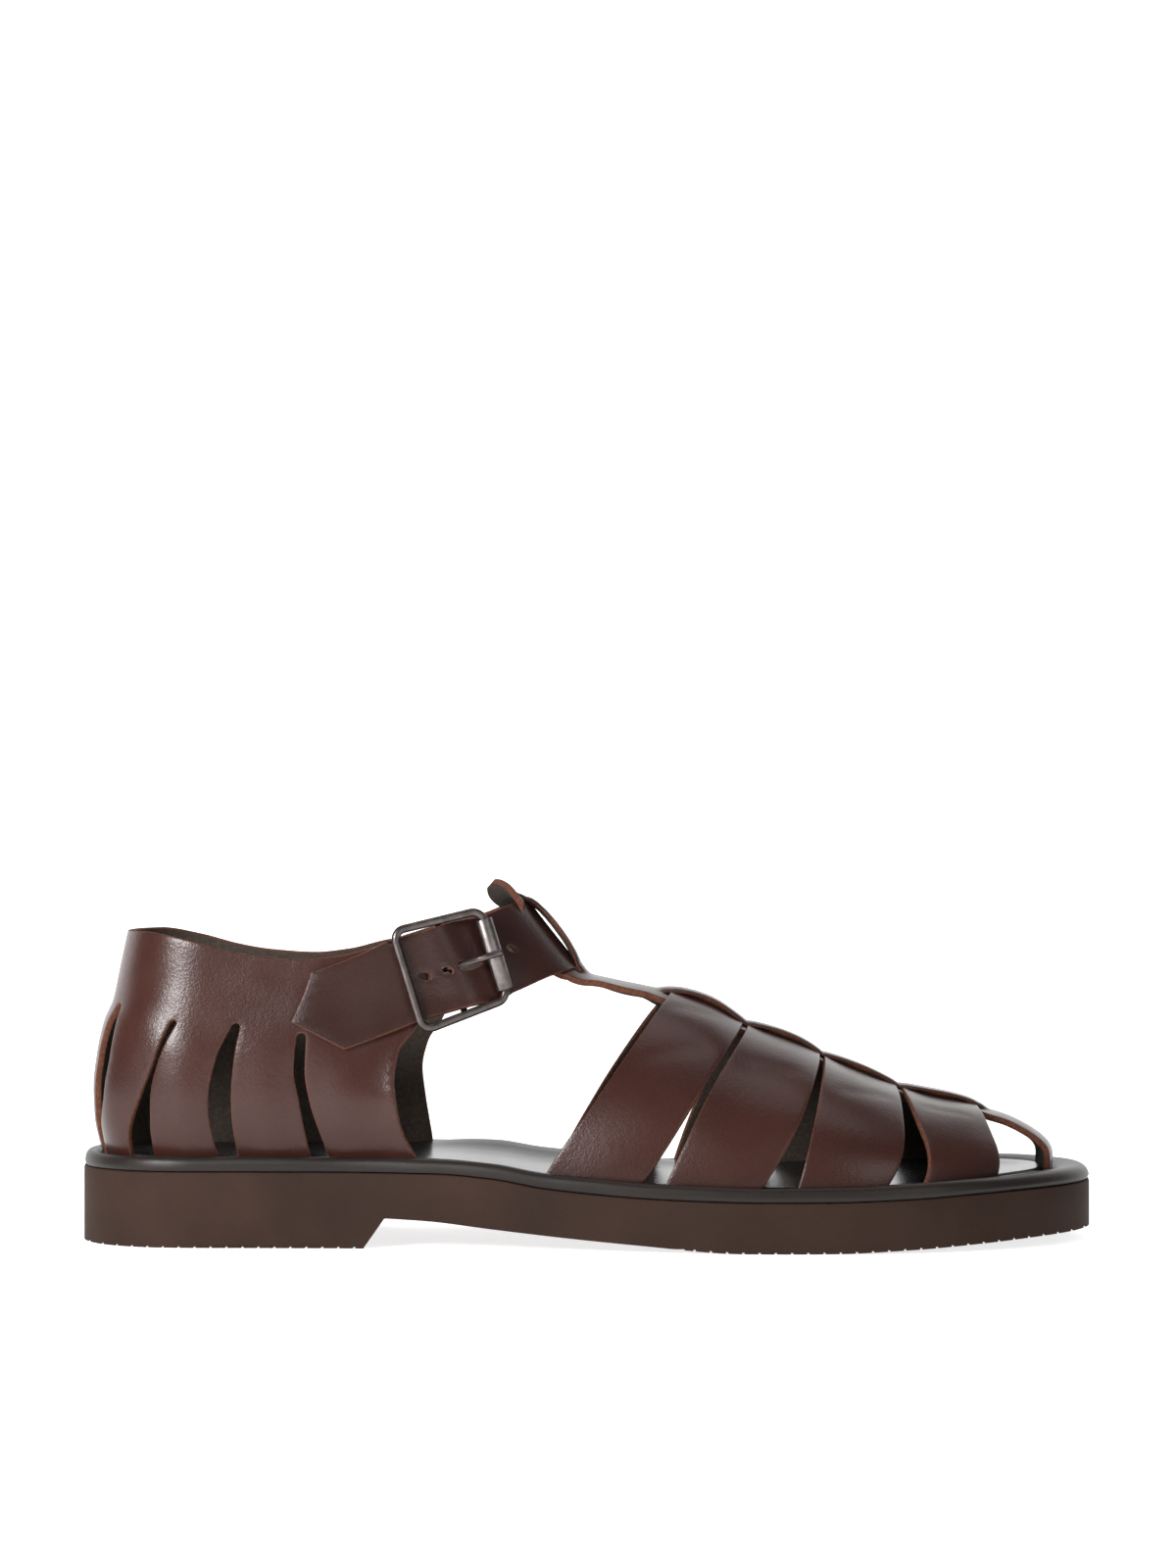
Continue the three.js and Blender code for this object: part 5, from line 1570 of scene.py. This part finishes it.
frame_path = []
for corner, (sign_a, sign_b) in enumerate([(1, 1), (-1, 1), (-1, -1), (1, -1)]):
    for angle in np.radians(np.linspace(0, 90, CORNER_POINTS) + 90 * corner):
        a = sign_a * (half_across - BUCKLE_CORNER) + cos(angle) * BUCKLE_CORNER
        b = sign_b * (half_up_at(a) - BUCKLE_CORNER) + sin(angle) * BUCKLE_CORNER
        frame_path.append(in_buckle(a, b, 0.0))
centre_a = float(np.dot(centre_bar_point - buckle_centre, across))
centre_c = float(np.dot(centre_bar_point - buckle_centre, outward))
post = half_up_at(centre_a) - POST_INSET
half_post = [(post, 0), (post, centre_c * 0.75), (post - POST_STEP, centre_c)]
bar_points = [(-b, c) for b, c in half_post] + [(0, centre_c)] + half_post[::-1]
centre_path = [in_buckle(centre_a, b, c) for b, c in bar_points]
dark_steel = steel_material("gunmetal", GUNMETAL, 0.33, 0.02)
# The frame and the centre bar between its sides are one casting.
points, faces = merged(
    bar_along(frame_path, outward, oval_section(WIRE_WIDTH, BUCKLE_WIRE, FRAME_SIDES), closed=True),
    bar_along(centre_path, across, oval_section(BUCKLE_WIRE * 0.9, BUCKLE_WIRE * 0.9, BAR_SIDES)),
)
buckle = add_piece("buckle_steel_frame", points, faces, [dark_steel])
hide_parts("buckle_frame")

bore = (WIRE_WIDTH + 2 * FIT_GAP, BUCKLE_WIRE + 2 * FIT_GAP)
skin = (ROLLER_WIDTH, bore[1] + 2 * ROLLER_WALL)


def roller_ring(b, width, height):
    section = oval_section(width, height, ROLLER_SIDES)
    return np.array([in_buckle(half_across + a, b, c) for a, c in section])


reach = ROLLER_LENGTH / 2
lip = ROLLER_WALL * 0.4
sleeve = [
    roller_ring(-reach, *bore),
    roller_ring(-reach, skin[0] - lip, skin[1] - lip),
    roller_ring(-reach + lip, *skin),
    roller_ring(reach - lip, *skin),
    roller_ring(reach, skin[0] - lip, skin[1] - lip),
    roller_ring(reach, *bore),
]
points = np.concatenate(sleeve)
faces = tube_faces(len(sleeve), len(sleeve[0]), closed=True)
roller = add_piece(
    "buckle_brushed_roller", points, faced_out(points, faces),
    [steel_material("brushed_steel", ROLLER_METAL, 0.36, 0.05)], sharp=40,
)
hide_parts("buckle_roller")

prong_rise = skin[1] / 2 + FIT_GAP + PRONG_HALF
prong_path = [
    (centre_a + cos(angle) * PRONG_HUG, centre_c + sin(angle) * PRONG_HUG)
    for angle in np.radians(np.linspace(LOOP_START, LOOP_END, LOOP_POINTS))
]
prong_path += [(half_across + a, prong_rise + c) for a, c in PRONG_END]
prong_section = oval_section(2 * PRONG_HALF, PRONG_WIRE, PRONG_SIDES)
points, faces = bar_along([in_buckle(a, 0, c) for a, c in prong_path], up_bar, prong_section)
prong = add_piece("buckle_steel_prong", points, faces, [dark_steel])
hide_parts("buckle_prong")
